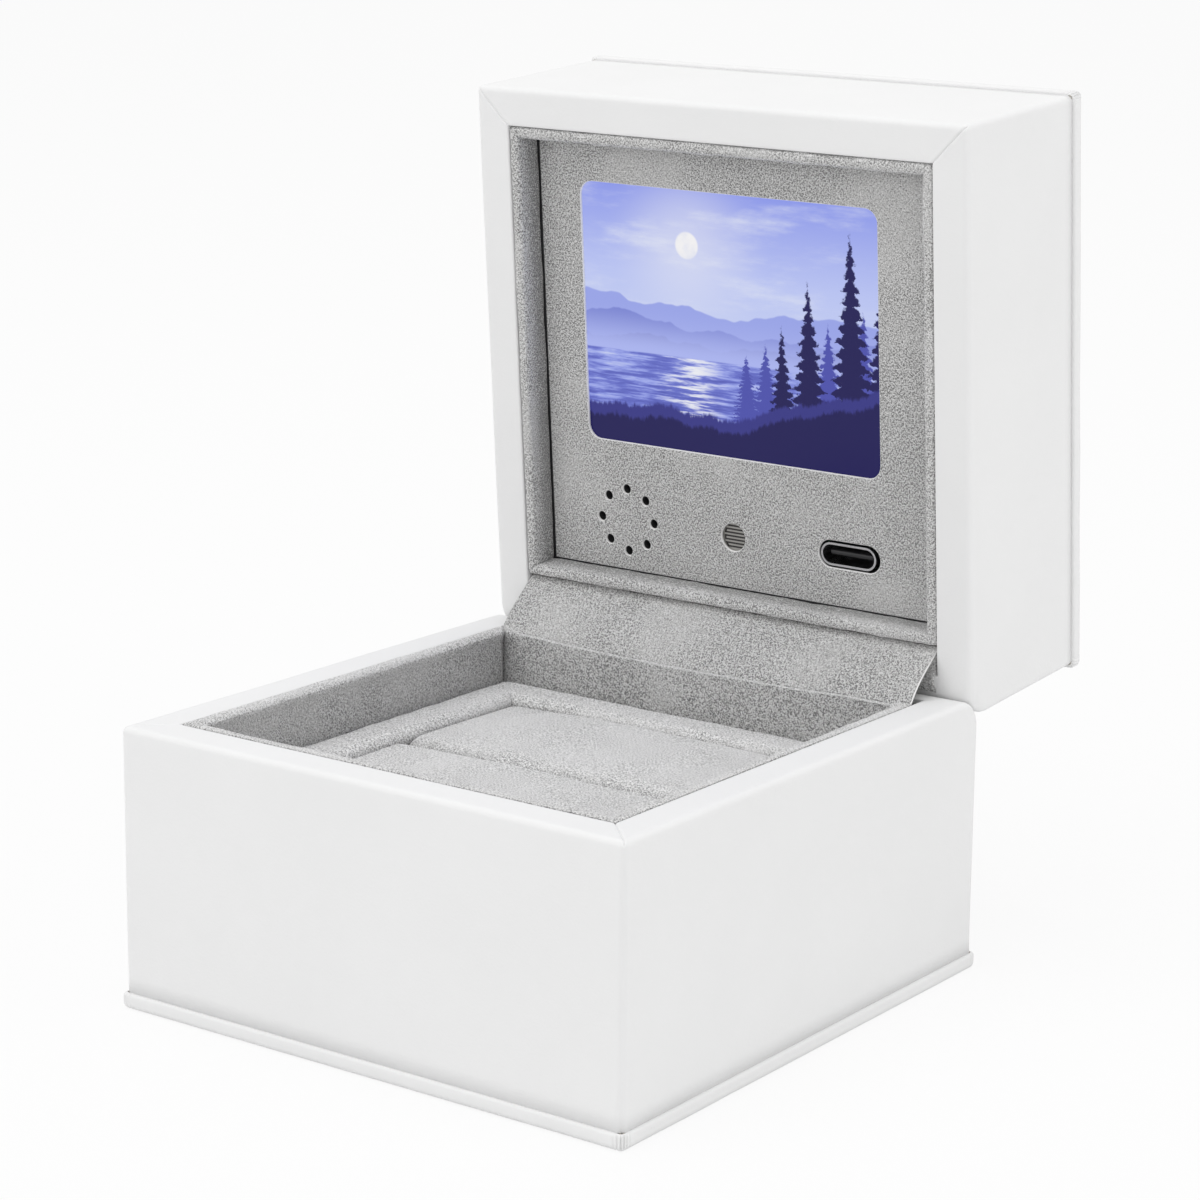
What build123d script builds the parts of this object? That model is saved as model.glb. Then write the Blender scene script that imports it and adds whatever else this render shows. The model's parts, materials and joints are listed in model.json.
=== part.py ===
from build123d import *
import os
from math import copysign, cos, pi, radians, sin, sqrt

# A square leatherette jewellery box, 80 mm wide, with a small screen in its lid.
# The lid is built round its screen and its speaker, so the box takes its width and depth from them.
# Row frame: +X to the right of someone facing the box, +Y to the rear (hinge side), +Z up.
# The origin is the centre of the underside of the base. All lengths are in millimetres.
# Every piece is drawn with the box shut. The lid's pieces are then turned back about the hinge
# axis to the open position, which is how the box stands at rest.

# Case
base_height = 38.0         # underside of the base to its rim
lid_height = 29.4          # rim of the lid to its outer board
board_thick = 2.2          # wrapped board glued on the base and on the lid
board_proud = 0.5          # how far a board stands out past the walls
board_edge_radius = 0.9
wrap_thick = 0.5           # leatherette
wrap_turn_in = 12.0        # leatherette glued down inside the walls
rim_width = 5.4            # leatherette rim round the well
edge_radius = 1.2          # outer edges of the walls
hinge_edge_radius = 4.4    # rear rim edges, rounder so that the lid can lie back
shut_gap = 0.23            # between the two rims when the box is shut
open_angle = 85.8          # how far the lid is turned back, in degrees

# Liners
glue_gap = 0.1             # room left between a liner and the wall that it is glued to
liner_thick = 1.0          # velvet-covered card round the well
liner_radius = 0.4
liner_drop = 0.1           # top of the liner below the rim
liner_rear_drop = 0.8      # the rear wall of the liner is lower, under the flap
bead_width = 1.6           # velvet-covered frame in the lid
bead_depth = 4.2           # rim of the lid to the face of the screen panel
bead_radius = 0.65

# Ring cushion
cushion_gap = 0.1
riser_height = 15.3        # foam block under the cushion
card_thick = 1.0
border_height = 12.5       # padded border of the cushion
border_width = 7.0
border_radius = 2.4
pad_height = 12.0
pad_crown = 0.7            # how much higher a pad is at its middle
pad_radius = 1.8
pad_gap = 0.3              # between the pads and the border
ring_slit = 0.5            # between the two pads

# Hinge
axis_inset = 2.6           # hinge axis from the rear face
axis_drop = 0.15           # hinge axis below the rim of the base
hinge_length = 50.0
barrel_radius = 1.4
barrel_room = 0.2          # round the barrel
leaf_thick = 0.7
leaf_reach = 5.7           # front edge of a leaf from the hinge axis
leaf_corner = 0.7
pin_radius = 0.7
pin_play = 0.05            # running fit of the pin in the lid's knuckles
pin_head_radius = 1.1
pin_head_thick = 0.4
knuckle_end = 10.0         # the base's knuckles, one at each end
knuckle_lid = 10.0         # the lid's knuckles, next to them
knuckle_gap = 0.2
spring_wire = 0.5          # diameter of the spring's wire
wire_sides = 8             # thin wires are drawn with flats, so that they stay light
spring_radius = 1.08       # middle of the coil to the middle of the wire
spring_turns = 5
spring_pitch = 0.75
spring_leg = 4.6
spring_foot = 0.7          # end of a leg that presses on the leaf
spring_leg_rise = 9.5      # slope of a spring leg off the leaf, in degrees
rail_base_thick = 3.0      # wood strip behind the rear wall of the base
rail_lid_thick = 3.9       # wood strip behind the rear wall of the lid
rail_height = 14.0
screw_radius = 0.8
screw_head_radius = 1.45
screw_length = 6.0
screw_places = (-20.0, -8.5, 8.5, 20.0)
screw_slot = 0.3           # width of the slot in a screw's head
screw_room = 0.05

# Flap
flap_thick = 0.6
flap_side_gap = 0.2
flap_bow = 0.35            # how far the strip bellies between its two edges

# Screen panel. The speaker's holes, the light sensor and the port stand in one row below the window
velvet_thick = 0.5
plate_thick = 1.6
window_width = 49.0
window_height = 37.0
window_radius = 2.0
window_x = -1.05           # a little left of the middle, because the cable is on the right
speaker_x = -19.3          # middle of the speaker and of its ring of holes
speaker_hole_ring = 9.1    # diameter of the circle of holes
speaker_hole = 1.4
speaker_holes = 8
sensor_x = -1.0
sensor_hole = 4.0
port_x = 18.1
port_slot_width = 10.0
port_slot_height = 3.9
boss_radius = 1.35
boss_hole = 0.65

# Display
lcd_border = 2.0           # the display's edge round the window, at the top and the bottom
lcd_left_border = 2.5
lcd_right_border = 7.3     # wider, for the flat cable's contacts
lcd_side_room = 3.75       # from the display to the liner's outer face
lcd_front_room = 5.5
lcd_row_room = 1.85        # from the display to the speaker's collar
lcd_thick = 2.7
lcd_cell_thick = 1.2
lcd_guide_thick = 0.8
lcd_wall = 0.5
lcd_room = 0.3
flex_thick = 0.2
flex_width = 20.0
flex_radius = 0.9
flex_room = 0.05
flex_tuck = 0.4            # glass edge to the end of the flat cable
flex_socket_depth = 3.5
flex_socket_thick = 1.2
flex_socket_x = 3.5        # display's inner edge to the mouth of the cable's socket

# Circuit board and what stands on it
board_depth = 11.1         # rim of the lid to the front of the circuit board
pcb_thick = 1.0
pcb_side_room = 3.1        # from the lid's inner wall to the circuit board
processor_size = (7.0, 7.0, 0.9)
processor_x = -9.6
flash_size = (6.0, 5.0, 0.8)
flash_x = 8.0
socket_size = (4.5, 6.0, 2.0)
small_part_size = (2.0, 1.25, 1.2)
small_part_pitch = 4.0
small_part_columns = 6
board_screw_radius = 0.6
board_screw_head = 1.15
board_screw_length = 4.0

# Port
shell_width = 8.94
shell_height = 3.26
shell_wall = 0.3
shell_recess = 0.05        # mouth of the shell below the velvet's face
tongue_width = 6.7
tongue_thick = 0.7
tongue_recess = 0.9
insulator_height = 1.4

# Light sensor
sensor_width = 5.1
sensor_flat = 4.3
sensor_thick = 2.0
track_rows = 7
track_pitch = 0.5
track_width = 0.24
track_thick = 0.05
track_share = 0.8          # how much of the sensor's width the track takes
sensor_lead_radius = 0.25
sensor_lead_pitch = 3.4
sensor_lead_end = 0.5      # how far the leads stand out behind the circuit board

# Speaker, measured back from the plate that it is glued to
speaker_radius = 7.0
speaker_height = 4.1
speaker_wall = 0.5
speaker_room = 0.15        # from the speaker's collar to the card frame
collar_height = 1.2        # ring on the plate that the speaker sits in
basket_rim = 1.6           # height of the basket's outer wall
basket_shoulder = 3.0
basket_vents = 6
vent_size = 1.4
cone_low = 0.35
cone_dip = 0.65
cone_thick = 0.15
coil_radius = 3.0
coil_wall = 0.25
coil_height = 1.5
yoke_radius = 4.1
yoke_thick = 0.6
yoke_height = 2.2
magnet_radius = 2.4
magnet_height = 1.3

# Battery and foam
battery_size = (50.0, 34.0, 5.0)
battery_x = -4.0           # middle of the battery
battery_depth = 14.5       # rim of the lid to the battery
battery_radius = 1.0
foam_tape_thick = 0.7
foam_margin = 1.0
spacer_wall = 1.4
lead_radius = 0.5
lead_pitch = 1.6
lead_bend = 0.45           # radius of a lead's bend as a share of its shorter run
speaker_lead_start = 5.8   # where the leads leave the basket, from the speaker's axis
speaker_lead_height = 2.8
speaker_lead_run = 5.2

# Places worked out from the sizes above
collar_radius = speaker_radius + glue_gap + speaker_wall
rim_and_gap = rim_width + glue_gap
width = 2 * (window_x + window_width / 2 + lcd_right_border + lcd_side_room + rim_and_gap)
row_from_hinge = rim_and_gap + rail_lid_thick + spacer_wall + speaker_room + collar_radius
window_from_hinge = row_from_hinge + collar_radius + lcd_row_room + lcd_border + window_height / 2
depth = window_from_hinge + window_height / 2 + lcd_border + lcd_front_room + rim_and_gap
half_x = width / 2
half_y = depth / 2
well_x = half_x - rim_width
well_y = half_y - rim_width
lid_rim = base_height + shut_gap
lid_inner_top = lid_rim + lid_height - board_thick
axis_y = half_y - axis_inset
axis_z = base_height - axis_drop
hinge_axis = Axis((0, axis_y, axis_z), (1, 0, 0))
leaf_low = axis_z - barrel_radius
screw_y = well_y - rail_base_thick / 2
liner_x = well_x - glue_gap
liner_y = well_y - glue_gap
liner_rear = well_y - rail_base_thick - glue_gap
well_rear = liner_rear - liner_thick
lined_x = liner_x - liner_thick
lined_y = liner_y - liner_thick
bead_rear = well_y - rail_lid_thick - glue_gap
window_y = half_y - window_from_hinge
row_y = half_y - row_from_hinge
plate_front = lid_rim + bead_depth + velvet_thick
plate_back = plate_front + plate_thick
pcb_front = lid_rim + board_depth
pcb_back = pcb_front + pcb_thick
pcb_half = liner_x - pcb_side_room + glue_gap
socket_x = pcb_half - socket_size[0] / 2 - foam_margin
lid_middle_y = (bead_rear - liner_y) / 2
spring_turn = 2 * pi * spring_turns + pi + radians(2 * spring_leg_rise - open_angle)
spring_half = spring_pitch * spring_turn / (4 * pi)
spring_drift = spring_leg * spring_pitch / (2 * pi * spring_radius)
reach = 4 * width          # longer than anything that is cut through

base_pieces = {}
lid_pieces = {}


def block(x, y, z):
    """A box between the two numbers given for each direction."""
    size = (x[1] - x[0], y[1] - y[0], z[1] - z[0])
    middle = ((x[0] + x[1]) / 2, (y[0] + y[1]) / 2, (z[0] + z[1]) / 2)
    return Pos(*middle) * Box(*size)


def both(value):
    """The same distance each side of the middle."""
    return (-value, value)


def rod(radius, start, end):
    """A cylinder from one point to another."""
    run = Vector(*end) - Vector(*start)
    seat = Plane(origin=start, z_dir=run.normalized())
    return extrude(seat * Circle(radius), amount=run.length)


def axle(radius, x):
    """A cylinder on the hinge axis between two places along it."""
    return rod(radius, (x[0], axis_y, axis_z), (x[1], axis_y, axis_z))


def top_edges(solid):
    """The edges of the highest flat face."""
    return solid.faces().filter_by(Axis.Z).sort_by(Axis.Z)[-1].edges()


def bottom_edges(solid):
    """The edges of the lowest flat face."""
    return solid.faces().filter_by(Axis.Z).sort_by(Axis.Z)[0].edges()


def upright_edges(solid):
    """The edges that run along Z."""
    return solid.edges().filter_by(Axis.Z)


# Wrapped walls and boards. The rim is at z = 0 and faces up; the lid's are turned over.

def wall_block(inset, tall, radius, hinge_radius):
    """The outside of the four walls as one block, its rear rim edge rounder than the others."""
    out = half_y - inset
    outline = FilletPolyline((-out, -tall), (-out, 0), (out, 0), (out, -tall),
                             radius=[0, hinge_radius])
    outline += Line((out, -tall), (-out, -tall))
    solid = extrude(make_face(Plane.YZ * outline), amount=half_x - inset, both=True)
    rounded = [edge for face in solid.faces().filter_by(Axis.X) for edge in face.edges()
               if edge.center().Z > -tall + radius / 2]
    rounded += solid.edges().filter_by(Axis.X).group_by(Axis.Y)[0].sort_by(Axis.Z)[-1:]
    return fillet(rounded, radius)


def well(grow):
    """The square hole through the walls, this much larger all round."""
    return block(both(well_x + grow), both(well_y + grow), both(reach))


def walls(tall):
    """The board frame of four walls and the leatherette glued over it."""
    outside = wall_block(0, tall, edge_radius, hinge_edge_radius)
    core = Pos(0, 0, -wrap_thick) * wall_block(
        wrap_thick, tall - wrap_thick, edge_radius - wrap_thick, hinge_edge_radius - wrap_thick)
    frame = core - well(wrap_thick)
    turned_in = well(wrap_thick) - block(both(reach), both(reach), (-wrap_turn_in, reach))
    return frame, outside - frame - well(0) - turned_in


def board_block(proud, high, radius):
    """A flat board below z = 0, its corners and its outer edges rounded."""
    solid = block(both(half_x + proud), both(half_y + proud), (high - board_thick, 0))
    solid = fillet(upright_edges(solid), radius)
    return fillet(bottom_edges(solid), radius)


def outer_board():
    """The board glued on the open end of the walls, and its leatherette."""
    outside = board_block(board_proud, 0, board_edge_radius)
    core = board_block(board_proud - wrap_thick, wrap_thick, board_edge_radius - wrap_thick)
    return core, outside - core


def turn_over(solid, height):
    """Mirror a piece drawn for the base about z = 0 and lift it to the lid."""
    return Pos(0, 0, height) * mirror(solid, about=Plane.XY)


def hinge_pocket(upwards):
    """The room cut in a rear wall for one leaf and the barrel."""
    length = hinge_length / 2 + pin_head_thick + knuckle_gap
    pocket = block(both(length), (well_y - rim_width, axis_y), (leaf_low, axis_z + reach))
    if not upwards:
        pocket = mirror(pocket, about=Plane.XY.offset(axis_z))
    return pocket + axle(barrel_radius + barrel_room, both(length))


def case():
    """The wrapped walls and boards of the base and of the lid."""
    frame, wrap = walls(base_height - board_thick)
    lift = Pos(0, 0, base_height)
    base_pieces["base_frame"] = lift * frame - hinge_pocket(True)
    base_pieces["base_wrap"] = lift * wrap - hinge_pocket(True)
    board, board_wrap = outer_board()
    base_pieces["bottom_board"] = Pos(0, 0, board_thick) * board
    base_pieces["bottom_wrap"] = Pos(0, 0, board_thick) * board_wrap

    frame, wrap = walls(lid_height - board_thick)
    lid_pieces["lid_frame"] = turn_over(frame, lid_rim) - hinge_pocket(False)
    lid_pieces["lid_wrap"] = turn_over(wrap, lid_rim) - hinge_pocket(False)
    lid_pieces["back_board"] = turn_over(board, lid_inner_top)
    lid_pieces["back_wrap"] = turn_over(board_wrap, lid_inner_top)


# Hinge

def knuckle_spans():
    """The stretches of the hinge axis that the base's and the lid's knuckles take."""
    end = hinge_length / 2
    shoulder = end - knuckle_end
    bay = shoulder - knuckle_lid
    play = knuckle_gap / 2
    outer = [(-end, -shoulder - play), (shoulder + play, end)]
    inner = [(-shoulder + play, -bay), (bay, shoulder - play)]
    return outer, inner, bay


def screw_hole(x, y, room):
    """A countersunk hole through a leaf and into the wood below it."""
    top = leaf_low + leaf_thick
    head = Pos(x, y, top - leaf_thick / 2) * Cone(
        screw_radius + room, screw_head_radius + room, leaf_thick)
    shank = rod(screw_radius + room, (x, y, top - screw_length), (x, y, leaf_low))
    return head + shank


def leaf(own, other, spring_leg_x):
    """One hinge leaf as it lies in the base: a plate with rolled knuckles."""
    end = hinge_length / 2
    plate = block(both(end), (axis_y - leaf_reach, axis_y), (leaf_low, leaf_low + leaf_thick))
    plate = fillet(upright_edges(plate).group_by(Axis.Y)[0], leaf_corner)
    for span in own:
        plate += axle(barrel_radius, span)
    room = barrel_radius + barrel_room
    _, _, bay = knuckle_spans()
    play = knuckle_gap
    for span in other:
        wide = (span[0] - play, span[1] + play)
        plate -= block(wide, (axis_y - room, axis_y + room), both(reach))
    plate -= block(both(bay + play), (axis_y - room, axis_y + room), both(reach))
    side_room = copysign(spring_wire, spring_leg_x)
    drift = copysign(spring_drift, spring_leg_x)
    slot = sorted((spring_leg_x - side_room, spring_leg_x + drift + side_room))
    plate -= block(slot, (axis_y - spring_leg + spring_foot, axis_y), both(reach))
    plate -= axle(pin_radius + pin_play, both(reach))
    for x in screw_places:
        plate -= screw_hole(x, screw_y, screw_room)
    return plate


def screws():
    """The countersunk wood screws of one leaf, with pointed ends."""
    top = leaf_low + leaf_thick
    group = []
    for x in screw_places:
        point = Pos(x, screw_y, top - screw_length - screw_radius) * Cone(
            0, screw_radius, 2 * screw_radius)
        recess = block((x - screw_radius, x + screw_radius),
                       (screw_y - screw_slot / 2, screw_y + screw_slot / 2),
                       (top - leaf_thick / 3, top + leaf_thick))
        group.append(screw_hole(x, screw_y, 0) + point - recess)
    return Compound(children=group)


def rail(thick):
    """The wood strip under one leaf, with pilot holes for its screws."""
    strip = block(both(liner_x), (well_y - thick, well_y), (leaf_low - rail_height, leaf_low))
    for x in screw_places:
        strip -= screw_hole(x, screw_y, screw_room)
        strip -= Pos(x, screw_y, leaf_low + leaf_thick - screw_length - screw_radius) * Cone(
            0, screw_radius + screw_room, 2 * screw_radius)
    return strip


def spring():
    """A torsion spring round the pin; its legs press the two leaves apart."""
    rise = radians(spring_leg_rise)
    foot = (0, -sin(rise), -cos(rise))       # where the base's leg leaves the coil
    seat = Plane(origin=(-spring_half, axis_y, axis_z), x_dir=foot, z_dir=(1, 0, 0))
    coil = seat * Helix(spring_pitch, 2 * spring_half, spring_radius)
    base_leg = Line(coil @ 0 - (coil % 0) * spring_leg, coil @ 0)
    lid_leg = Line(coil @ 1, coil @ 1 + (coil % 1) * spring_leg)
    path = Wire([base_leg.edge(), coil.edge(), lid_leg.edge()])
    seat = Plane(origin=path @ 0, z_dir=path % 0)
    return sweep(seat * RegularPolygon(spring_wire / 2, wire_sides), path=path)


def hinge():
    """The two leaves, the pin, the spring, the rails and the screws."""
    def over(solid):
        return mirror(solid, about=Plane.XY.offset(axis_z))

    outer, inner, _ = knuckle_spans()
    base_pieces["hinge_base_leaf"] = leaf(outer, inner, -spring_half)
    base_pieces["hinge_base_screws"] = screws()
    base_pieces["base_hinge_rail"] = rail(rail_base_thick)
    end = hinge_length / 2
    pin = axle(pin_radius, both(end))
    for x in (-end - pin_head_thick, end):
        pin += axle(pin_head_radius, (x, x + pin_head_thick))
    base_pieces["hinge_pin"] = pin
    base_pieces["hinge_spring"] = spring()
    lid_pieces["hinge_lid_leaf"] = over(leaf(inner, outer, spring_half))
    lid_pieces["hinge_lid_screws"] = over(screws())
    lid_pieces["lid_hinge_rail"] = over(rail(rail_lid_thick))


def flap():
    """The velvet strip that covers the open hinge, as it lies with the lid open."""
    start = Vector(0, well_rear + flap_thick / 2, base_height - liner_rear_drop + flap_thick)
    tuck = Vector(0, bead_rear + flap_thick / 2, lid_rim + flap_thick)
    end = Vertex(*tuck).rotate(hinge_axis, -open_angle).center()
    run = (end - start).normalized()
    out = Vector(0, -run.Z, run.Y)
    middle = (start + end) * 0.5 + out * flap_bow
    half_thick = out * (flap_thick / 2)
    near = ThreePointArc(start + half_thick, middle + half_thick, end + half_thick)
    far = ThreePointArc(start - half_thick, middle - half_thick, end - half_thick)
    edges = near + far + Line(near @ 0, far @ 0) + Line(near @ 1, far @ 1)
    strip = extrude(make_face(edges), amount=well_x - flap_side_gap, both=True, dir=(1, 0, 0))
    base_pieces["hinge_flap"] = strip


# Well of the base

def base_lining():
    """The velvet-covered card round the well, lower at the rear where the flap turns over it."""
    top = base_height - liner_drop
    liner = block(both(liner_x), (-liner_y, liner_rear), (board_thick, top))
    liner -= block(both(lined_x), (-lined_y, well_rear), both(reach))
    liner = fillet(top_edges(liner), liner_radius)
    liner -= block(both(reach), (well_rear - flap_thick, reach),
                   (base_height - liner_rear_drop, reach))
    base_pieces["base_liner"] = liner


def pad(y, z):
    """One pad of the ring cushion, with a crowned top."""
    out = lined_x - cushion_gap - border_width - pad_gap
    top = z + pad_height
    crest = ThreePointArc((-out, top - pad_crown), (0, top), (out, top - pad_crown))
    sides = Polyline((out, top - pad_crown), (out, z), (-out, z), (-out, top - pad_crown))
    profile = make_face(Plane.XZ * (crest + sides))
    solid = Pos(0, y[0], 0) * extrude(profile, amount=y[1] - y[0], dir=(0, 1, 0))
    return fillet(solid.faces().sort_by(Axis.Z)[-1].edges(), pad_radius)


def ring_cushion():
    """Foam block, card, padded border and the two pads that grip the ring."""
    out = lined_x - cushion_gap
    front = cushion_gap - lined_y
    rear = well_rear - cushion_gap
    riser_top = board_thick + riser_height
    card_top = riser_top + card_thick
    base_pieces["cushion_riser"] = block(both(out), (front, rear), (board_thick, riser_top))
    base_pieces["cushion_card"] = block(both(out), (front, rear), (riser_top, card_top))
    border = block(both(out), (front, rear), (card_top, card_top + border_height))
    border -= block(both(out - border_width), (front + border_width, rear - border_width),
                    both(reach))
    base_pieces["ring_border"] = fillet(top_edges(border), border_radius)
    front_edge = front + border_width + pad_gap
    rear_edge = rear - border_width - pad_gap
    slit = (front_edge + rear_edge) / 2
    base_pieces["ring_pad_front"] = pad((front_edge, slit - ring_slit / 2), card_top)
    base_pieces["ring_pad_rear"] = pad((slit + ring_slit / 2, rear_edge), card_top)


# Lid

def lid_layer(z, inset):
    """A layer that fills the lid, this much smaller all round."""
    return block(both(liner_x - inset), (inset - liner_y, bead_rear - inset), z)


def lid_lining():
    """The velvet-covered frame that shows as a bead, and the card frame behind the panel."""
    bead = lid_layer((lid_rim, lid_rim + bead_depth), 0) - lid_layer(both(reach), bead_width)
    lid_pieces["lid_liner"] = fillet(bottom_edges(bead), bead_radius)
    spacer = lid_layer((plate_back, lid_inner_top), 0) - lid_layer(both(reach), spacer_wall)
    lid_pieces["lid_spacer"] = spacer


def boss_places():
    """The middles of the four posts that carry the circuit board."""
    inside = spacer_wall + boss_radius + glue_gap
    across = liner_x - spacer_wall - 3 * boss_radius
    return [(sx * across, y) for sx in (-1, 1) for y in (inside - liner_y, bead_rear - inside)]


def lcd_span():
    """The display's edges left and right, and front and rear."""
    half_window = window_width / 2
    half_lcd = window_height / 2 + lcd_border
    return ((window_x - half_window - lcd_left_border, window_x + half_window + lcd_right_border),
            (window_y - half_lcd, window_y + half_lcd))


def screen_panel():
    """The moulded plate of the lid and the velvet sheet glued on its face."""
    velvet_front = lid_rim + bead_depth
    sheet = lid_layer((velvet_front, plate_front), 0)
    plate = lid_layer((plate_front, plate_back), 0)

    seat = Plane.XY.offset(velvet_front - plate_thick)
    deep = 4 * plate_thick
    window = Pos(window_x, window_y) * RectangleRounded(window_width, window_height, window_radius)
    sheet -= extrude(seat * window, amount=deep)
    lcd_x, lcd_y = lcd_span()
    plate -= block((lcd_x[0] - lcd_room, lcd_x[1] + lcd_room),
                   (lcd_y[0] - lcd_room, lcd_y[1] + lcd_room), both(reach))

    holes = Pos(speaker_x, row_y) * PolarLocations(speaker_hole_ring / 2, speaker_holes)
    openings = Sketch() + [place * Circle(speaker_hole / 2) for place in holes]
    openings += Pos(port_x, row_y) * SlotOverall(port_slot_width, port_slot_height)
    sheet -= extrude(seat * openings, amount=deep)
    plate -= extrude(seat * openings, amount=deep)
    sheet -= rod(sensor_hole / 2, (sensor_x, row_y, velvet_front - 1), (sensor_x, row_y, plate_back))
    plate -= rod(sensor_width / 2 + lcd_room, (sensor_x, row_y, velvet_front - 1),
                 (sensor_x, row_y, plate_back + 1))

    for x, y in boss_places():
        plate += rod(boss_radius, (x, y, plate_back), (x, y, pcb_front))
        plate -= rod(boss_hole, (x, y, pcb_front - board_screw_length), (x, y, pcb_front + 1))
    inside = speaker_radius + glue_gap
    ring = turned([(inside, 0), (inside, collar_height), (collar_radius, collar_height),
                   (collar_radius, 0)])
    lid_pieces["screen_panel"] = plate + ring
    lid_pieces["panel_velvet"] = sheet


def display():
    """Glass cell, light guide, tray, flat cable and the foam behind them."""
    x, y = lcd_span()
    front = plate_front
    back = front + lcd_thick
    inner_x = (x[0] + lcd_wall, x[1] - lcd_wall)
    inner_y = (y[0] + lcd_wall, y[1] - lcd_wall)
    cell_back = front + lcd_cell_thick
    guide_back = cell_back + lcd_guide_thick
    lid_pieces["lcd_cell"] = block(inner_x, inner_y, (front, cell_back))
    lid_pieces["lcd_light_guide"] = block(inner_x, inner_y, (cell_back, guide_back))
    tray = block(x, y, (front, back)) - block(inner_x, inner_y, (front, guide_back))
    lid_pieces["lcd_frame"] = tray

    mouth_x = inner_x[1] - flex_socket_x
    flex_x = x[1] + flex_thick / 2 + flex_room
    flex_z = pcb_front - flex_socket_thick / 2
    route = FilletPolyline((flex_x, front + flex_tuck), (flex_x, flex_z), (mouth_x, flex_z),
                           radius=flex_radius)
    strip = Plane.XZ * trace(route, line_width=flex_thick)
    flex = Pos(0, window_y + flex_width / 2, 0) * extrude(strip, amount=flex_width)
    lid_pieces["lcd_flex"] = flex
    socket_half = flex_width / 2 + lcd_wall
    lid_pieces["flex_connector"] = block(
        (mouth_x - flex_socket_depth, mouth_x), (window_y - socket_half, window_y + socket_half),
        (pcb_front - flex_socket_thick, pcb_front))
    foam_right = mouth_x - flex_socket_depth - foam_margin
    lid_pieces["lcd_foam"] = block((x[0] + foam_margin, foam_right),
                                   (y[0] + foam_margin, y[1] - foam_margin), (back, pcb_front))


def circuit_board():
    """The circuit board, its chips and sockets, and the screws that hold it."""
    inside = spacer_wall + glue_gap
    board = block(both(pcb_half), (inside - liner_y, bead_rear - inside), (pcb_front, pcb_back))
    screws_group = []
    for x, y in boss_places():
        board -= rod(board_screw_radius + screw_room, (x, y, pcb_front - 1), (x, y, pcb_back + 1))
        shank = rod(board_screw_radius, (x, y, pcb_back - board_screw_length), (x, y, pcb_back))
        head = rod(board_screw_head, (x, y, pcb_back), (x, y, pcb_back + board_screw_radius))
        head -= block((x - board_screw_head, x + board_screw_head),
                      (y - screw_slot / 2, y + screw_slot / 2),
                      (pcb_back + board_screw_radius / 2, reach))
        screws_group.append(shank + head)
    for dx in both(sensor_lead_pitch / 2):
        board -= rod(sensor_lead_radius + screw_room, (sensor_x + dx, row_y, pcb_front - 1),
                     (sensor_x + dx, row_y, pcb_back + 1))
    lid_pieces["main_board"] = board
    lid_pieces["board_screws"] = Compound(children=screws_group)

    def chip(x, y, size):
        return block((x - size[0] / 2, x + size[0] / 2), (y - size[1] / 2, y + size[1] / 2),
                     (pcb_back, pcb_back + size[2]))

    lid_pieces["video_processor"] = chip(processor_x, lid_middle_y, processor_size)
    lid_pieces["flash_memory"] = chip(flash_x, lid_middle_y, flash_size)
    row_out = processor_size[1] + small_part_pitch
    lid_pieces["small_parts"] = Compound(children=[
        chip(processor_x + (column - 1) * small_part_pitch, lid_middle_y + row, small_part_size)
        for column in range(small_part_columns) for row in both(row_out)])
    lid_pieces["battery_socket"] = chip(socket_x, lid_middle_y, socket_size)


def port():
    """The charging port: a drawn steel shell round a plastic tongue."""
    mouth = lid_rim + bead_depth + shell_recess
    deep = pcb_front - mouth
    seat = Plane((port_x, row_y, mouth))
    hollow = SlotOverall(shell_width - 2 * shell_wall, shell_height - 2 * shell_wall)
    shell = extrude(seat * (SlotOverall(shell_width, shell_height) - hollow), amount=deep)
    lid_pieces["usb_shell"] = shell
    tongue = block((port_x - tongue_width / 2, port_x + tongue_width / 2),
                   (row_y - tongue_thick / 2, row_y + tongue_thick / 2),
                   (mouth + tongue_recess, pcb_front))
    plug = SlotOverall(shell_width - 2 * shell_wall - screw_room,
                       shell_height - 2 * shell_wall - screw_room)
    tongue += Pos(0, 0, deep - insulator_height) * extrude(seat * plug, amount=insulator_height)
    lid_pieces["usb_tongue"] = fillet(bottom_edges(tongue).filter_by(Axis.X), tongue_thick * 0.4)


def light_sensor():
    """The light-dependent resistor: a flat-sided disc, its winding track and its two leads."""
    face = plate_front + track_thick + glue_gap
    seat = Plane((sensor_x, row_y, face))
    outline = Circle(sensor_width / 2) & Rectangle(sensor_width, sensor_flat)
    lid_pieces["photoresistor_disc"] = extrude(seat * outline, amount=sensor_thick)
    points = []
    for row in range(track_rows):
        y = (row - (track_rows - 1) / 2) * track_pitch
        end = track_share * sqrt((sensor_flat / 2) ** 2 - y * y)
        ends = (-end, end) if row % 2 == 0 else (end, -end)
        points += [(ends[0], y), (ends[1], y)]
    track = trace(Polyline(*points), line_width=track_width)
    lid_pieces["photoresistor_track"] = extrude(
        Plane((sensor_x, row_y, face - track_thick)) * track, amount=track_thick)
    leads = [rod(sensor_lead_radius, (sensor_x + dx, row_y, face + sensor_thick),
                 (sensor_x + dx, row_y, pcb_back + sensor_lead_end))
             for dx in both(sensor_lead_pitch / 2)]
    lid_pieces["photoresistor_leads"] = Compound(children=leads)


def turned(points):
    """A round piece: a closed outline of (radius, height) points turned about the speaker's axis."""
    face = make_face(Plane.XZ * Polyline(*points, close=True))
    return Pos(speaker_x, row_y, plate_back) * revolve(face, Axis.Z)


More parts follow.
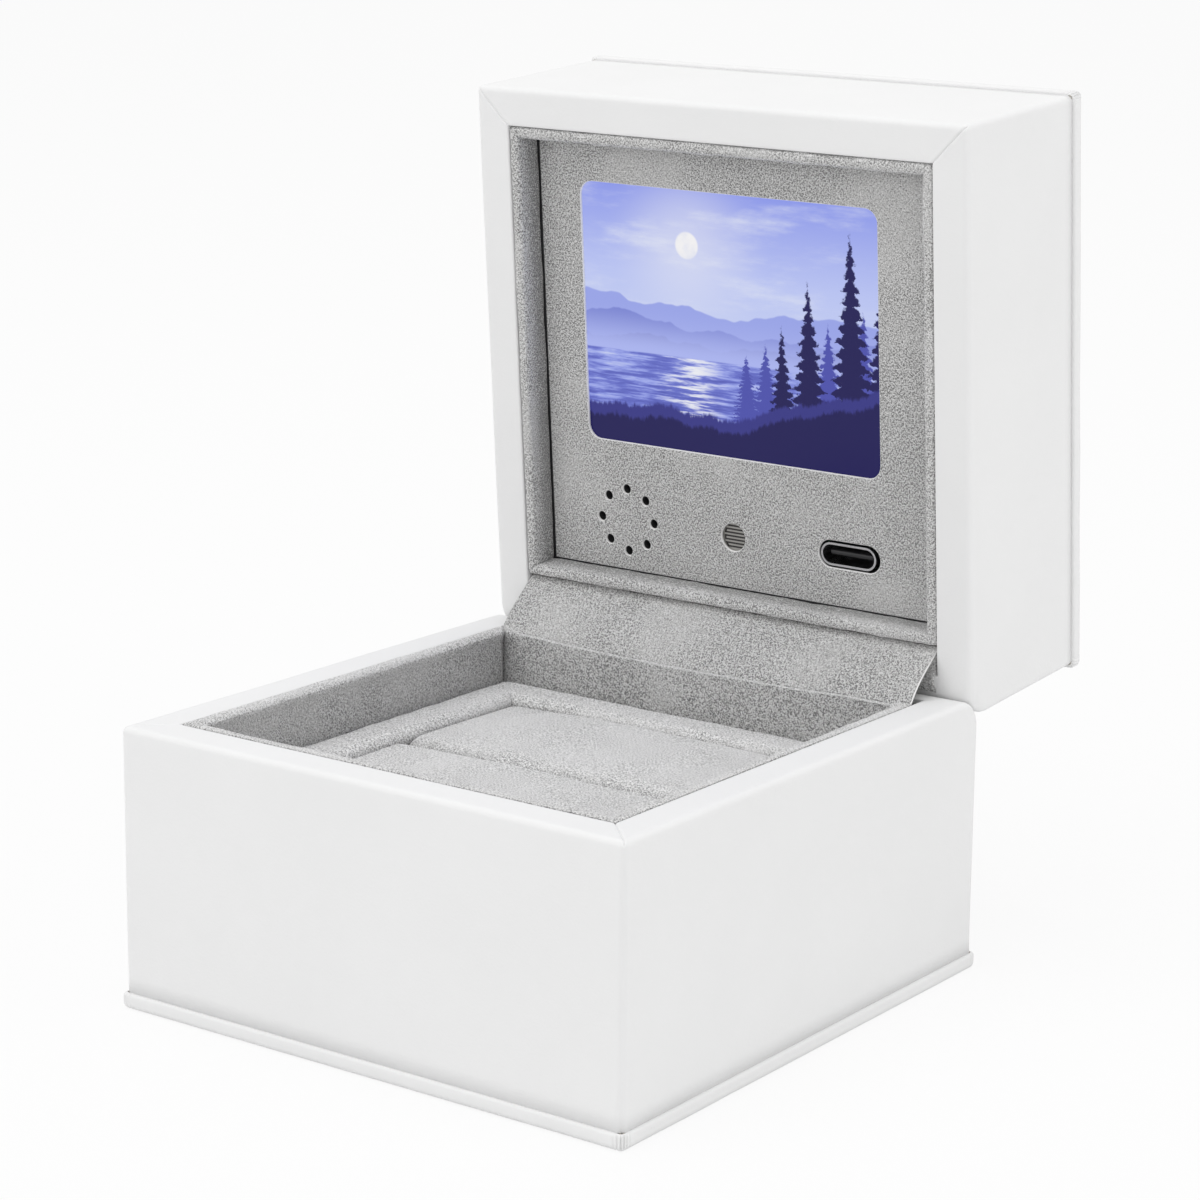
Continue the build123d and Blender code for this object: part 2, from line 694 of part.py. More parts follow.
def speaker():
    """A small round loudspeaker, firing forward through the ring of holes."""
    inner = speaker_radius - speaker_wall
    neck = yoke_radius + glue_gap
    basket = turned([(inner, 0), (speaker_radius, 0), (speaker_radius, basket_rim),
                     (neck + speaker_wall, basket_shoulder), (neck, basket_shoulder),
                     (neck, basket_shoulder - speaker_wall),
                     (inner, basket_rim - speaker_wall / 2)])
    vent_z = plate_back + (basket_rim + basket_shoulder) / 2
    for place in PolarLocations((speaker_radius + neck) / 2, basket_vents):
        basket -= Pos(speaker_x, row_y, vent_z) * place * Box(vent_size, vent_size, vent_size)
    lid_pieces["speaker_basket"] = basket

    rim = inner - screw_room
    crest = (coil_radius + rim) / 2
    cone_high = cone_low + cone_dip
    face = [(0, cone_low), (coil_radius, cone_high), (crest, cone_low + cone_dip / 3),
            (rim, cone_high)]
    back = [(radius, height + cone_thick) for radius, height in reversed(face)]
    lid_pieces["speaker_cone"] = turned(face + back)

    coil_low = cone_high + cone_thick
    coil_high = coil_low + coil_height
    lid_pieces["speaker_coil"] = turned([
        (coil_radius - coil_wall, coil_low), (coil_radius, coil_low),
        (coil_radius, coil_high), (coil_radius - coil_wall, coil_high)])
    yoke_low = speaker_height - yoke_height
    plate_low = speaker_height - yoke_thick
    lid_pieces["speaker_yoke"] = turned([
        (0, plate_low), (0, speaker_height), (yoke_radius, speaker_height),
        (yoke_radius, yoke_low), (yoke_radius - yoke_thick, yoke_low),
        (yoke_radius - yoke_thick, plate_low)])
    lid_pieces["speaker_magnet"] = turned([
        (0, plate_low - magnet_height), (0, plate_low), (magnet_radius, plate_low),
        (magnet_radius, plate_low - magnet_height)])


def battery():
    """The flat pouch cell, the foam before and behind it."""
    x = (battery_x - battery_size[0] / 2, battery_x + battery_size[0] / 2)
    y = (lid_middle_y - battery_size[1] / 2, lid_middle_y + battery_size[1] / 2)
    low = lid_rim + battery_depth
    high = low + battery_size[2]
    cell = block(x, y, (low, high))
    lid_pieces["battery_cell"] = fillet(cell.edges().filter_by(Axis.X), battery_radius)
    lid_pieces["battery_foam"] = block((x[0] + foam_margin, x[1] - foam_margin),
                                       (y[0] + foam_margin, y[1] - foam_margin),
                                       (low - foam_tape_thick, low))
    lid_pieces["rear_foam"] = block(x, y, (high, lid_inner_top))


def lead(points, radii):
    """One insulated wire along straight runs joined by arcs."""
    route = FilletPolyline(*points, radius=radii)
    start = Plane(origin=route @ 0, z_dir=route % 0)
    return sweep(start * RegularPolygon(lead_radius, wire_sides), path=route)


def leads():
    """The pairs of wires from the battery and from the speaker to the circuit board."""
    battery_end = battery_x + battery_size[0] / 2
    battery_z = lid_rim + battery_depth + battery_size[2] / 2
    socket_top = pcb_back + socket_size[2]
    start_x = speaker_x + speaker_lead_start
    turn_x = start_x + speaker_lead_run
    speaker_z = plate_back + speaker_lead_height
    battery_pair = []
    speaker_pair = []
    for dy in both(lead_pitch / 2):
        y = lid_middle_y + dy
        battery_pair.append(lead(
            [(battery_end, y, battery_z), (socket_x, y, battery_z), (socket_x, y, socket_top)],
            lead_bend * (battery_z - socket_top)))
        y = row_y + dy
        speaker_pair.append(lead(
            [(start_x, y, speaker_z), (turn_x, y, speaker_z), (turn_x, y, pcb_front)],
            lead_bend * (pcb_front - speaker_z)))
    lid_pieces["battery_leads"] = Compound(children=battery_pair)
    lid_pieces["speaker_leads"] = Compound(children=speaker_pair)


case()
hinge()
flap()
base_lining()
ring_cushion()
lid_lining()
screen_panel()
display()
circuit_board()
port()
light_sensor()
speaker()
battery()
leads()

os.makedirs("parts", exist_ok=True)
for name, solid in base_pieces.items():
    export_step(solid, f"parts/{name}.step")
for name, solid in lid_pieces.items():
    export_step(solid.rotate(hinge_axis, -open_angle), f"parts/{name}.step")
print(len(base_pieces) + len(lid_pieces), "pieces")
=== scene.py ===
# %% [markdown]
# # A video jewellery box in leatherette and velvet
#
# The real object is a board box wrapped in white leatherette and lined with grey velvet. A sprung hinge
# carries the lid, and a screen, a ring of speaker holes, a light sensor and a charging port sit in the
# velvet panel of the lid. The rigid pieces come ready from the CAD frame. This lesson makes what a hand
# would feel on them: leather folded over board, seams, pile, puckers, and the picture on the screen.
#
# Everything is in metres. +X is to the right, +Y to the rear, +Z up, and the base stands on z = 0.

# %% Load the frame
import json
from math import cos, pi, radians, sin

import bmesh
import bpy
import numpy as np
from mathutils import Matrix, Vector


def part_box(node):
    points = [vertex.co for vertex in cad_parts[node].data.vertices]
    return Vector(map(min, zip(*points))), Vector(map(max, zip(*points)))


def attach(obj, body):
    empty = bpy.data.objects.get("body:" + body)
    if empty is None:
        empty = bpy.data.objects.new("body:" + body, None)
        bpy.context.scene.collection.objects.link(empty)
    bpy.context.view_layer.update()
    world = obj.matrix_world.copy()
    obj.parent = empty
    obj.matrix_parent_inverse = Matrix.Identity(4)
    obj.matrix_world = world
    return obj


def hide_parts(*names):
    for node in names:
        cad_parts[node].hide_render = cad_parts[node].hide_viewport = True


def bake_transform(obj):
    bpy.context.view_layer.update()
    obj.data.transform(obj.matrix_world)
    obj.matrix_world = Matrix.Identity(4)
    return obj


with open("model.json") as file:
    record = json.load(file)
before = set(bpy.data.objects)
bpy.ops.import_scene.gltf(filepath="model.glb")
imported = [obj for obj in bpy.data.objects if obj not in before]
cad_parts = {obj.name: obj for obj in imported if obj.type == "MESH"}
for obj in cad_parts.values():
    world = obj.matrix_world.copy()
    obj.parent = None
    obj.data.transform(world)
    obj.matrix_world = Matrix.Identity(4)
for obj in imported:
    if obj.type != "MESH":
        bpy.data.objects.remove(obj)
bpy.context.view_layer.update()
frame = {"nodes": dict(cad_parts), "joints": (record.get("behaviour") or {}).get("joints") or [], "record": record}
nodes = frame["nodes"]
mm = 0.001


def add_object(name, data):
    """Put a mesh, curve, lamp or camera in the scene."""
    made = bpy.data.objects.new(name, data)
    bpy.context.scene.collection.objects.link(made)
    return made


# %% [markdown]
# ## Sizes
#
# Sizes are read from the frame's nodes where a node shows them. Only the finish of the covering, such as
# how round a folded edge is, is chosen here. The lid's pieces are drawn shut, as they lie over the base,
# and then turned back about the hinge.

# %% Sizes from the frame
base_low, base_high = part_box("base_wrap")
liner_low, liner_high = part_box("base_liner")
half_x, half_y = base_high.x, -base_low.y
rim_z = base_high.z
board = base_low.z            # thickness of the wrapped board under the walls
hinge = frame["joints"][0]
axis_y, axis_z = hinge["pos_m"][1], hinge["pos_m"][2]
opened = radians(hinge["range_deg"][1])
shut_gap = 0.53 * mm          # between the rims, beyond what the axis gives
lid_rim = 2 * axis_z - rim_z + shut_gap
lid_tall = 27.2 * mm          # walls of the lid, without its board
rim_width = 5.4 * mm
edge_radius = 0.85 * mm
hinge_radius = 3.9 * mm       # the base's rear rim edge, on which the lid leans back
lid_hinge_radius = 4.3 * mm
print(f"half size {half_x / mm:.2f} x {half_y / mm:.2f}, lid rim {lid_rim / mm:.2f}")


def turn_open(points):
    """Turn points of the shut lid open about the hinge axis."""
    y = points[..., 1] - axis_y
    z = points[..., 2] - axis_z
    c, s = cos(-opened), sin(-opened)
    return np.stack([points[..., 0], axis_y + y * c - z * s, axis_z + y * s + z * c], axis=-1)


# %% [markdown]
# ## The camera
#
# A camera was fitted to the photograph's own edges and corners. It stands 34 degrees to the right of
# straight ahead and looks down by 12 degrees, with a long lens. The small shift is needed because the
# photograph is a crop out of a wider picture.

# %% Camera
camera_yaw = radians(34.102)
camera_pitch = radians(12.45)
camera_roll = radians(1.038)
camera_place = Vector((261.73, -342.77, 157.65)) * mm

back = Vector((sin(camera_yaw) * cos(camera_pitch), -cos(camera_yaw) * cos(camera_pitch),
               sin(camera_pitch)))
level = Vector((cos(camera_yaw), sin(camera_yaw), 0))
rise = level.cross(-back)
right = level * cos(camera_roll) + rise * sin(camera_roll)
up = rise * cos(camera_roll) - level * sin(camera_roll)
camera = add_object("camera", bpy.data.cameras.new("camera"))
camera.data.lens = 102.36
camera.data.sensor_width = 36.0
camera.data.shift_x = -0.1259
camera.data.shift_y = -0.0571
camera.data.clip_start = 0.01
camera.matrix_world = Matrix.Translation(camera_place) @ Matrix((right, up, back)).transposed().to_4x4()
bpy.context.scene.camera = camera
bpy.context.scene.view_settings.view_transform = "Standard"
print("camera", round(camera_place.length, 3), "m away")

# %% [markdown]
# ## Shader maths as plain expressions
#
# A formula drawn as a graph of nodes is hard to read. The class below wraps one socket, so that
# `a * 2 + b` adds its Math nodes by itself. Every other node comes from one method, `node`.

# %% A socket that does sums


class Value:
    """One output socket in a material. Sums on it add Math nodes."""

    def __init__(self, paint, socket):
        self.paint = paint
        self.socket = socket

    def sum(self, operation, *others):
        return self.paint.node("Math", dict(enumerate((self, *others))), operation=operation)

    def __add__(self, other): return self.sum("ADD", other)
    def __sub__(self, other): return self.sum("SUBTRACT", other)
    def __rsub__(self, other): return self.paint.node("Math", {0: other, 1: self}, operation="SUBTRACT")
    def __mul__(self, other): return self.sum("MULTIPLY", other)
    def __truediv__(self, other): return self.sum("DIVIDE", other)
    def __pow__(self, other): return self.sum("POWER", other)
    def __abs__(self): return self.sum("ABSOLUTE")
    def cosine(self): return self.sum("COSINE")
    def fract(self): return self.sum("FRACT")
    def least(self, other): return self.sum("MINIMUM", other)
    def most(self, other): return self.sum("MAXIMUM", other)
    __radd__, __rmul__ = __add__, __mul__

    def step(self, low, high):
        """0 below low, 1 above high and smooth between them."""
        return self.paint.node("MapRange", {"Value": self, "From Min": low, "From Max": high},
                               interpolation_type="SMOOTHSTEP")


class Paint:
    """A material that is being made, or the world: its node tree and its main shader."""

    def __init__(self, name, kind="materials", shader="Principled BSDF"):
        self.material = getattr(bpy.data, kind).new(name)
        self.material.use_nodes = True
        self.tree = self.material.node_tree
        self.main = self.tree.nodes[shader]

    def plug(self, socket, value):
        """Give a socket a value or a link."""
        if isinstance(value, Value):
            self.tree.links.new(value.socket, socket)
        else:
            socket.default_value = value

    def node(self, kind, inputs, output=0, **settings):
        """Add a node: the values or links of its sockets, then its settings."""
        made = self.tree.nodes.new("ShaderNode" + kind)
        for key, value in settings.items():
            setattr(made, key, value)
        for key, value in inputs.items():
            self.plug(made.inputs[key], value)
        return Value(self, made.outputs[output])

    def set(self, values):
        """Give sockets of the main shader a value or a link each."""
        for name, value in values.items():
            self.plug(self.main.inputs[name], value)

    def moved(self, vector, **how):
        """The vector after a Mapping node with this Location, Rotation or Scale."""
        return self.node("Mapping", {"Vector": vector, **how})

    def place(self, turn=0.0):
        """Object coordinates in metres, turned about x."""
        return self.moved(self.node("TexCoord", {}, "Object"), Rotation=(turn, 0, 0))

    def axes(self, vector):
        """The three numbers of a vector."""
        split = self.node("SeparateXYZ", {"Vector": vector})
        return tuple(Value(self, output) for output in split.socket.node.outputs)

    def flat(self, x, y):
        """A point of a plane."""
        return self.node("CombineXYZ", {"X": x, "Y": y})

    def noise(self, vector, scale, detail=2.0, rough=0.5):
        """A cloudy value from 0 to 1; scale is in clouds per metre."""
        return self.node("TexNoise", {"Vector": vector, "Scale": scale, "Detail": detail, "Roughness": rough})

    def cells(self, vector, scale, feature="F1"):
        """Distance to the nearest of many scattered points."""
        return self.node("TexVoronoi", {"Vector": vector, "Scale": scale}, feature=feature)

    def mix(self, factor, first, second):
        """Mix two colours."""
        return self.node("Mix", {0: factor, 6: first, 7: second}, 2, data_type="RGBA")

    def ramp(self, factor, stops):
        """A colour ramp; each stop is a place from 0 to 1 and a colour."""
        value = self.node("ValToRGB", {"Fac": factor})
        elements = value.socket.node.color_ramp.elements
        elements.remove(elements[-1])
        for index, (place, colour) in enumerate(stops):
            stop = elements.new(place) if index else elements[0]
            stop.position, stop.color = place, colour
        return value

    def bump(self, height, strength, distance):
        """Turn a height into the shader's normal."""
        self.set({"Normal": self.node("Bump", {"Height": height, "Strength": strength,
                                               "Distance": distance})})


def grey(level, warm=0.0):
    """A colour near grey; warm pushes it towards yellow."""
    return (level * (1 + warm), level, level * (1 - warm), 1.0)


# %% [markdown]
# ## White leatherette
#
# Leatherette is cloth with a thin plastic skin, pressed with a fine calf grain. It looks almost flat. What
# gives it away is the soft highlight, which breaks up into small cells. The grain is two layers of cells,
# a fine one and a broader one, and they make the bump.

# %% Leatherette


def leatherette(name, tone):
    """White leatherette of this brightness."""
    paint = Paint(name)
    at = paint.place()
    pores = paint.cells(at, 2600).step(0.15, 0.75)
    folds = paint.cells(at, 900, "SMOOTH_F1").step(0.0, 0.9)
    clouds = paint.noise(at, 60, 3.0)
    paint.set({"Base Color": paint.mix(clouds.step(0.3, 0.75), grey(tone * 0.985), grey(tone)),
               "Roughness": 0.54 + pores * 0.08 + clouds * 0.06, "Specular IOR Level": 0.24})
    paint.bump(pores * 0.6 + folds * 0.4 + clouds * 0.5, 0.16, 0.06 * mm)
    return paint.material


white_leather = leatherette("white_leatherette", 0.83)

# %% [markdown]
# ## Grey velvet
#
# The lining is a short-pile microfibre. Close up it looks like salt and pepper with a faint twill. Its
# tufts lean where fingers have brushed them, which leaves broad lighter and darker clouds. The rim of every
# tuft catches the light, which is what the sheen is for. A cut edge shows the pale backing as a thread.

# %% Velvet


def velvet(name, tone, turn=0.0, depth=1.0, painted_shade=None):
    """Short-pile velvet of this brightness; turn lays its rows on a tilted piece.

    Tufts and specks make the grain, with a faint twill of slanting rows, cos(u) + cos(v), and depth is
    how strong it is. The last argument paints shade into the pile colour, darkest below the first height and gone
    above the second: (dark height, light height, how dark).
    """
    paint = Paint(name)
    at = paint.place(turn=turn)
    x, y, z = paint.axes(at)
    drift_u = paint.noise(at, 420)
    drift_v = paint.noise(at, 510)
    row_pitch = 0.5 * mm
    u = (x * 0.74 + y * 0.62 + z * 0.92) * (2 * pi / row_pitch) + drift_u * 9.0
    v = (x * 0.86 - y * 0.7 - z * 0.58) * (2 * pi / row_pitch) + drift_v * 11.0
    rows = u.cosine() * 0.07 + v.cosine() * 0.04
    tufts = paint.noise(at, 4500, 1.0) - 0.5
    specks = paint.noise(at, 7000, 1.0) - 0.5
    upright = paint.noise(at, 75).step(0.36, 0.6)
    brushed = paint.noise(at, 90, 3.0, 0.55) - 0.5
    grain = (tufts * 3.1 + specks * 2.0 + rows) * (0.55 + upright * 0.65)
    level = 0.55 + grain * depth + brushed * 0.16
    # Painted shade: the pile colour is darkened below a given height, in the hollows.
    if painted_shade:
        level = level - (1 - z.step(painted_shade[0], painted_shade[1])) * painted_shade[2]
    pile = paint.ramp(level, [(0.02, grey(tone * 0.4, 0.008)), (0.55, grey(tone, 0.006)),
                              (1.0, grey(tone * 1.42, 0.004))])
    paint.set({"Base Color": pile, "Roughness": 1.0, "Specular IOR Level": 0.1,
               "Sheen Weight": 0.55, "Sheen Roughness": 0.4})
    paint.bump(grain * 0.6 + brushed * 0.3, 0.8 * depth, 0.15 * mm)
    return paint.material


# Part of the difference in tone between these copies is painted light: the cushion's upward-facing velvet is
# painted lighter than the walls, and the well's walls a little darker than the lid's flap.
grey_velvet = velvet("grey_velvet", 0.51)
lit_fold_velvet = velvet("grey_velvet_fold", 0.62, depth=0.8)   # a lighter copy: painted light on the upward faces of the rolled top
# Painted shade: the cushion's pile is darkened where it lies low, on the rolled edge at the slit and beside the
# border.
cushion_velvet = velvet("cushion_velvet", 0.67, depth=0.7, painted_shade=(28.6 * mm, 30.1 * mm, 0.32))
lid_velvet = velvet("grey_velvet_lid", 0.525, turn=opened)
# Painted shade: the bead's pile is darkened with depth down its inner walls, towards the panel.
rim_point = turn_open(np.array([0, 0, lid_rim]))
rim_behind = rim_point[1] * sin(opened) + rim_point[2] * cos(opened)
bead_velvet = velvet("grey_velvet_bead", 0.56, turn=opened,
                     painted_shade=(rim_behind + 3.2 * mm, rim_behind + 0.7 * mm, 0.44))

cut_paint = Paint("velvet_cut_edge")
cut_threads = cut_paint.noise(cut_paint.place(), 2500)
cut_paint.set({"Base Color": cut_paint.mix(cut_threads, grey(0.84, 0.005), grey(0.93, 0.005)),
               "Roughness": 0.85 + cut_threads * 0.1})
cut_edge = cut_paint.material

# %% [markdown]
# ## Surfaces from numpy grids
#
# Nearly every covering here runs round a rectangle, so one function makes them all from a profile of two
# arrays: how far in from the rectangle each row lies, and how high. Each side becomes a grid, and the
# grids meet on the diagonals, as real mitres do.

# %% Grids


def spread(length, ends, inner_step):
    """Places along a side: close together near its ends, then evenly spaced."""
    count = max(2, int(round((length - 2 * ends[-1]) / inner_step)))
    middle = np.linspace(ends[-1], length - ends[-1], count + 1)[1:-1]
    return np.r_[ends, middle, length - ends[::-1]] / length


def strip_of(rect, side, inset, height, along):
    """One side of a covering that runs round a rectangle (x0, x1, y0, y1).

    A row runs from one corner of the rectangle, drawn in by its inset, to the next one:
    (1 - t) * start + t * end. Inset and height may change along a row, and the sides still meet.
    """
    x0, x1, y0, y1 = rect
    sign = np.array([(1, 1), (-1, 1), (-1, -1), (1, -1)], float)
    corner = np.array([(x0, y0), (x1, y0), (x1, y1), (x0, y1)], float)
    ahead = (side + 1) % 4
    inset = inset.reshape(len(inset), -1, 1)
    height = height.reshape(len(height), -1, 1)
    t = along[None, :, None]
    plan = (corner[side] + sign[side] * inset) * (1 - t) + (corner[ahead] + sign[ahead] * inset) * t
    return np.concatenate([plan, np.broadcast_to(height, plan.shape[:2] + (1,))], axis=-1)


def frame_strips(rect, inset, height, along):
    """All four sides of a covering that runs round a rectangle."""
    return [strip_of(rect, side, inset, height, along) for side in range(4)]


def grid_faces(rows, columns, loop=False):
    """The four corners of each face of a grid, all turning the same way."""
    r = np.arange(rows if loop else rows - 1)[:, None]
    c = np.arange(columns - 1)[None, :]
    a = r * columns + c
    b = ((r + 1) % rows) * columns + c
    return np.stack([a, a + 1, b + 1, b], axis=-1).reshape(-1, 4)


def weld_points(mesh, distance, sliver=0):
    """Weld points that lie together, drop slivers and turn the faces outwards."""
    work = bmesh.new()
    work.from_mesh(mesh)
    bmesh.ops.remove_doubles(work, verts=work.verts, dist=distance)
    if sliver:
        bmesh.ops.dissolve_degenerate(work, edges=work.edges, dist=sliver)
    bmesh.ops.recalc_face_normals(work, faces=work.faces)
    work.to_mesh(mesh)
    work.free()


def read(items, name):
    """A vector that each vertex or face has, as rows of three numbers."""
    values = np.zeros(len(items) * 3)
    items.foreach_get(name, values)
    return values.reshape(-1, 3)


def make_piece(name, grids, material, loop=False, weld=0.004 * mm):
    """A mesh object from point grids, with its seams welded."""
    points, faces, first = [], [], 0
    for grid in grids:
        points.append(grid.reshape(-1, 3))
        faces.append(grid_faces(*grid.shape[:2], loop) + first)
        first += len(points[-1])
    mesh = bpy.data.meshes.new(name)
    mesh.from_pydata(np.concatenate(points).tolist(), [], np.concatenate(faces).tolist())
    weld_points(mesh, weld, weld / 4)
    mesh.shade_smooth()
    mesh.materials.append(material)
    print(f"{name}: {len(mesh.vertices)} points, {len(mesh.polygons)} faces")
    return add_object(name, mesh)


def final_mesh(piece):
    """The mesh that an object's modifiers or curve give."""
    return bpy.data.meshes.new_from_object(piece.evaluated_get(bpy.context.evaluated_depsgraph_get()))


def settle(piece):
    """Apply the piece's modifiers."""
    finished = final_mesh(piece)
    piece.modifiers.clear()
    piece.data = finished


def unit(vectors):
    """Vectors made one long. One that has no length stays as it is."""
    return vectors / np.maximum(np.linalg.norm(vectors, axis=-1, keepdims=True), 1e-9)


def quarter(radius, count):
    """A quarter of a circle in two rows of numbers, radius * (1 - cos) and radius * (1 - sin)."""
    angle = np.linspace(0, pi / 2, count)
    return radius * (1 - np.cos(angle)), radius * (1 - np.sin(angle))


def dip(distance, width):
    """A soft narrow dip about zero: exp(-(distance / width)^2)."""
    return np.exp(-(distance / width) ** 2)


def sway(points, wave, amount, seed):
    """A gentle irregular swell: a sum of six sine waves of about this wavelength."""
    rng = np.random.default_rng(seed)
    total = np.zeros(points.shape[:-1])
    for _ in range(6):
        direction = rng.normal(size=3)
        direction *= 2 * pi / (wave * rng.uniform(0.7, 1.6)) / np.linalg.norm(direction)
        total += np.sin(points @ direction + rng.uniform(0, 2 * pi))
    return amount * total / 3


# %% [markdown]
# ## Leather over the walls
#
# The walls are wrapped in one band that turns over the rim and is glued down inside. It is butted at the
# front corners of the rim, which leaves a mitre you can feel with a nail. Its rear rim edge is much
# rounder than the others, because the lid lies back on it.
#
# The rounding is a projection. For each point of a sharp-edged box the nearest point of a smaller inner
# body is found, and the leather lies one edge radius away from that, on the line between the two. The
# inner body's own rear edge is already round, which makes the rounder one.

# %% Leather over the walls


def nearest_core(points, rear_radius):
    """The nearest point of the inner body: a block with one edge, at its rear top, already rounded."""
    x = np.clip(points[..., 0], edge_radius - half_x, half_x - edge_radius)
    y = np.clip(points[..., 1], edge_radius - half_y, half_y - edge_radius)
    z = np.minimum(points[..., 2], -edge_radius)
    centre_y, centre_z = half_y - rear_radius, -rear_radius
    dy, dz = points[..., 1] - centre_y, points[..., 2] - centre_z
    away = np.maximum(np.hypot(dy, dz), 1e-9)
    inner = rear_radius - edge_radius
    curved = (dy > 0) & (dz > 0)
    y = np.where(curved, centre_y + dy / away * np.minimum(inner, away), y)
    z = np.where(curved, centre_z + dz / away * np.minimum(inner, away), z)
    return np.stack([x, y, z], axis=-1)


def wall_skin(tall, turn_in, rear_radius, seed):
    """Leather over four walls whose rim is at z = 0. A mitre is a groove: depth * dip(distance)."""
    rim = np.array([0, 0.15, 0.3, 0.5, 0.7, 0.9, 1.2, 1.6, 2.2, 3.0, 3.8, 4.6]) * mm
    wall = np.r_[np.linspace(-tall, -6 * mm, 14), np.array([-4.4, -3.2, -2.2]) * mm, -rim[5:0:-1]]
    fold = 0.28 * mm
    rising, falling = quarter(fold, 5)
    inset = np.r_[np.zeros(len(wall)), rim, rim_width - falling, np.full(3, rim_width)]
    height = np.r_[wall, np.zeros(len(rim)), -rising, -2 * mm, -6 * mm, -turn_in]
    ends = np.array([0, 0.05, 0.1, 0.17, 0.28, 0.45, 0.6, 0.8, 1.0, 1.2, 1.8, 2.6, 4.0]) * mm
    along = spread(2 * half_x, ends, 2.4 * mm)
    outer = inset < rim_width - fold - 1e-9
    for strip in frame_strips((-half_x, half_x, -half_y, half_y), inset, height, along):
        core = nearest_core(strip, rear_radius)
        outward = unit(strip - core)
        normal = np.where(outer[:, None, None], outward, np.array([0, 0, 1.0]))
        skin = np.where(outer[:, None, None], core + edge_radius * outward, strip)
        to_seam = 2 ** 0.5 * (half_x - inset)[:, None] * np.minimum(along, 1 - along)[None, :]
        on_rim = (np.clip(1 + height / (0.7 * mm), 0, 1) * (inset < rim_width + 1e-9))[:, None]
        on_rim = on_rim * (strip[..., 1] < half_y - rim_width - 1 * mm)
        groove = (0.17 * dip(to_seam, 0.1 * mm) - 0.02 * dip(to_seam - 0.45 * mm, 0.25 * mm)) * mm * on_rim
        swell = sway(strip, 34 * mm, 0.035 * mm, seed) + sway(strip, 9 * mm, 0.01 * mm, seed + 1)
        held = (np.clip((height + tall) / (3 * mm), 0, 1) * outer)[:, None]
        yield skin + normal * (swell * held - groove)[..., None]


def thicken(piece, thickness, middle=False, rim_material=0):
    """Give a skin its thickness, inwards or to both sides of its middle."""
    solid = piece.modifiers.new("thickness", "SOLIDIFY")
    solid.thickness = thickness
    solid.offset = 0 if middle else -1
    solid.material_offset_rim = rim_material
    settle(piece)


def lift(points, height):
    """Raise points by a height."""
    return points + np.array([0, 0, height])


def turn_over(points, height):
    """Mirror points about z = 0, lift them to the shut lid and turn them open."""
    return turn_open(lift(points * np.array([1, 1, -1]), height))


leather_thick = 0.25 * mm
turn_in = 12 * mm             # how far the leather reaches down inside the walls
base_skin = make_piece("base_leather", [lift(strip, rim_z) for strip in wall_skin(
    rim_z - board, turn_in, hinge_radius, 3)], white_leather)
lid_skin = make_piece("lid_leather", [turn_over(strip, lid_rim) for strip in wall_skin(
    lid_tall, turn_in, lid_hinge_radius, 8)], white_leather)
thicken(base_skin, leather_thick)
thicken(lid_skin, leather_thick)

# %% [markdown]
# ## The hinge's mortise
#
# The hinge leaves and their barrel are let into the rear rims. A Boolean cuts the leather there best,
# because the cut crosses the curved rim at a slant that no grid line follows.

# %% Mortise
barrel_room, leaf_depth, leaf_room = 1.6 * mm, 1.4 * mm, 12 * mm
mortise_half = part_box("hinge_pin")[1].x + 0.2 * mm


def cutter(name, side):
    """A block for the leaf and a rod for the barrel. The leaf is cut upwards (side 1) or down (-1)."""
    front = half_y - rim_width - 1 * mm
    middle = Vector((0, (front + axis_y) / 2, axis_z + side * (leaf_room / 2 - leaf_depth)))
    block, rod = bmesh.new(), bmesh.new()
    bmesh.ops.create_cube(block, size=1, matrix=Matrix.Translation(middle) @ Matrix.Diagonal(
        (2 * mortise_half, axis_y - front, leaf_room, 1)))
    bmesh.ops.create_cone(rod, cap_ends=True, segments=32, radius1=barrel_room, radius2=barrel_room,
                          depth=2 * mortise_half + 0.02 * mm,
                          matrix=Matrix.Translation((0, axis_y, axis_z)) @ Matrix.Rotation(pi / 2, 4, "Y"))
    tools = []
    for work, ending in ((block, ""), (rod, "_rod")):
        mesh = bpy.data.meshes.new(name + ending)
        work.to_mesh(mesh)
        work.free()
        tools.append(add_object(name + ending, mesh))
    return tools


def cut(piece, tools):
    """Cut each tool out of the piece and throw the tools away."""
    for tool in tools:
        boolean = piece.modifiers.new("mortise", "BOOLEAN")
        boolean.operation = "DIFFERENCE"
        boolean.object = tool
        settle(piece)
        bpy.data.objects.remove(tool)
    print(f"{piece.name}: {len(piece.data.polygons)} faces after the cut")


cut(base_skin, cutter("base_mortise", 1))
lid_tools = cutter("lid_mortise", -1)
for tool in lid_tools:
    tool.data.vertices.foreach_set("co", turn_open(read(tool.data.vertices, "co")).ravel())
    tool.data.update()
cut(lid_skin, lid_tools)
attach(base_skin, "base")
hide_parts("base_wrap")
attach(lid_skin, "lid")
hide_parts("lid_wrap")

# %% [markdown]
# ## Leather over the boards
#
# A separate wrapped board closes the base below and the lid behind. It stands half a millimetre proud, so
# its edge shows as a fine lip, and at its corners the leather is gathered into three tight puckers.

# %% Boards
board_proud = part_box("bottom_wrap")[1].x - half_x


def round_corners(plan, middle, reach, inset, radius):
    """Round the plan corners of rings of points.

    What lies beyond a ring's core, its rectangle less the radius left at its inset, is laid on a circle
    about the core's nearest point.
    """
    corner = np.maximum(radius - inset, 0)[:, None, None]
    core = np.array(reach) - inset[:, None, None] - corner
    held = np.clip(plan - middle, -core, core)
    return middle + held + corner * unit(plan - middle - held)


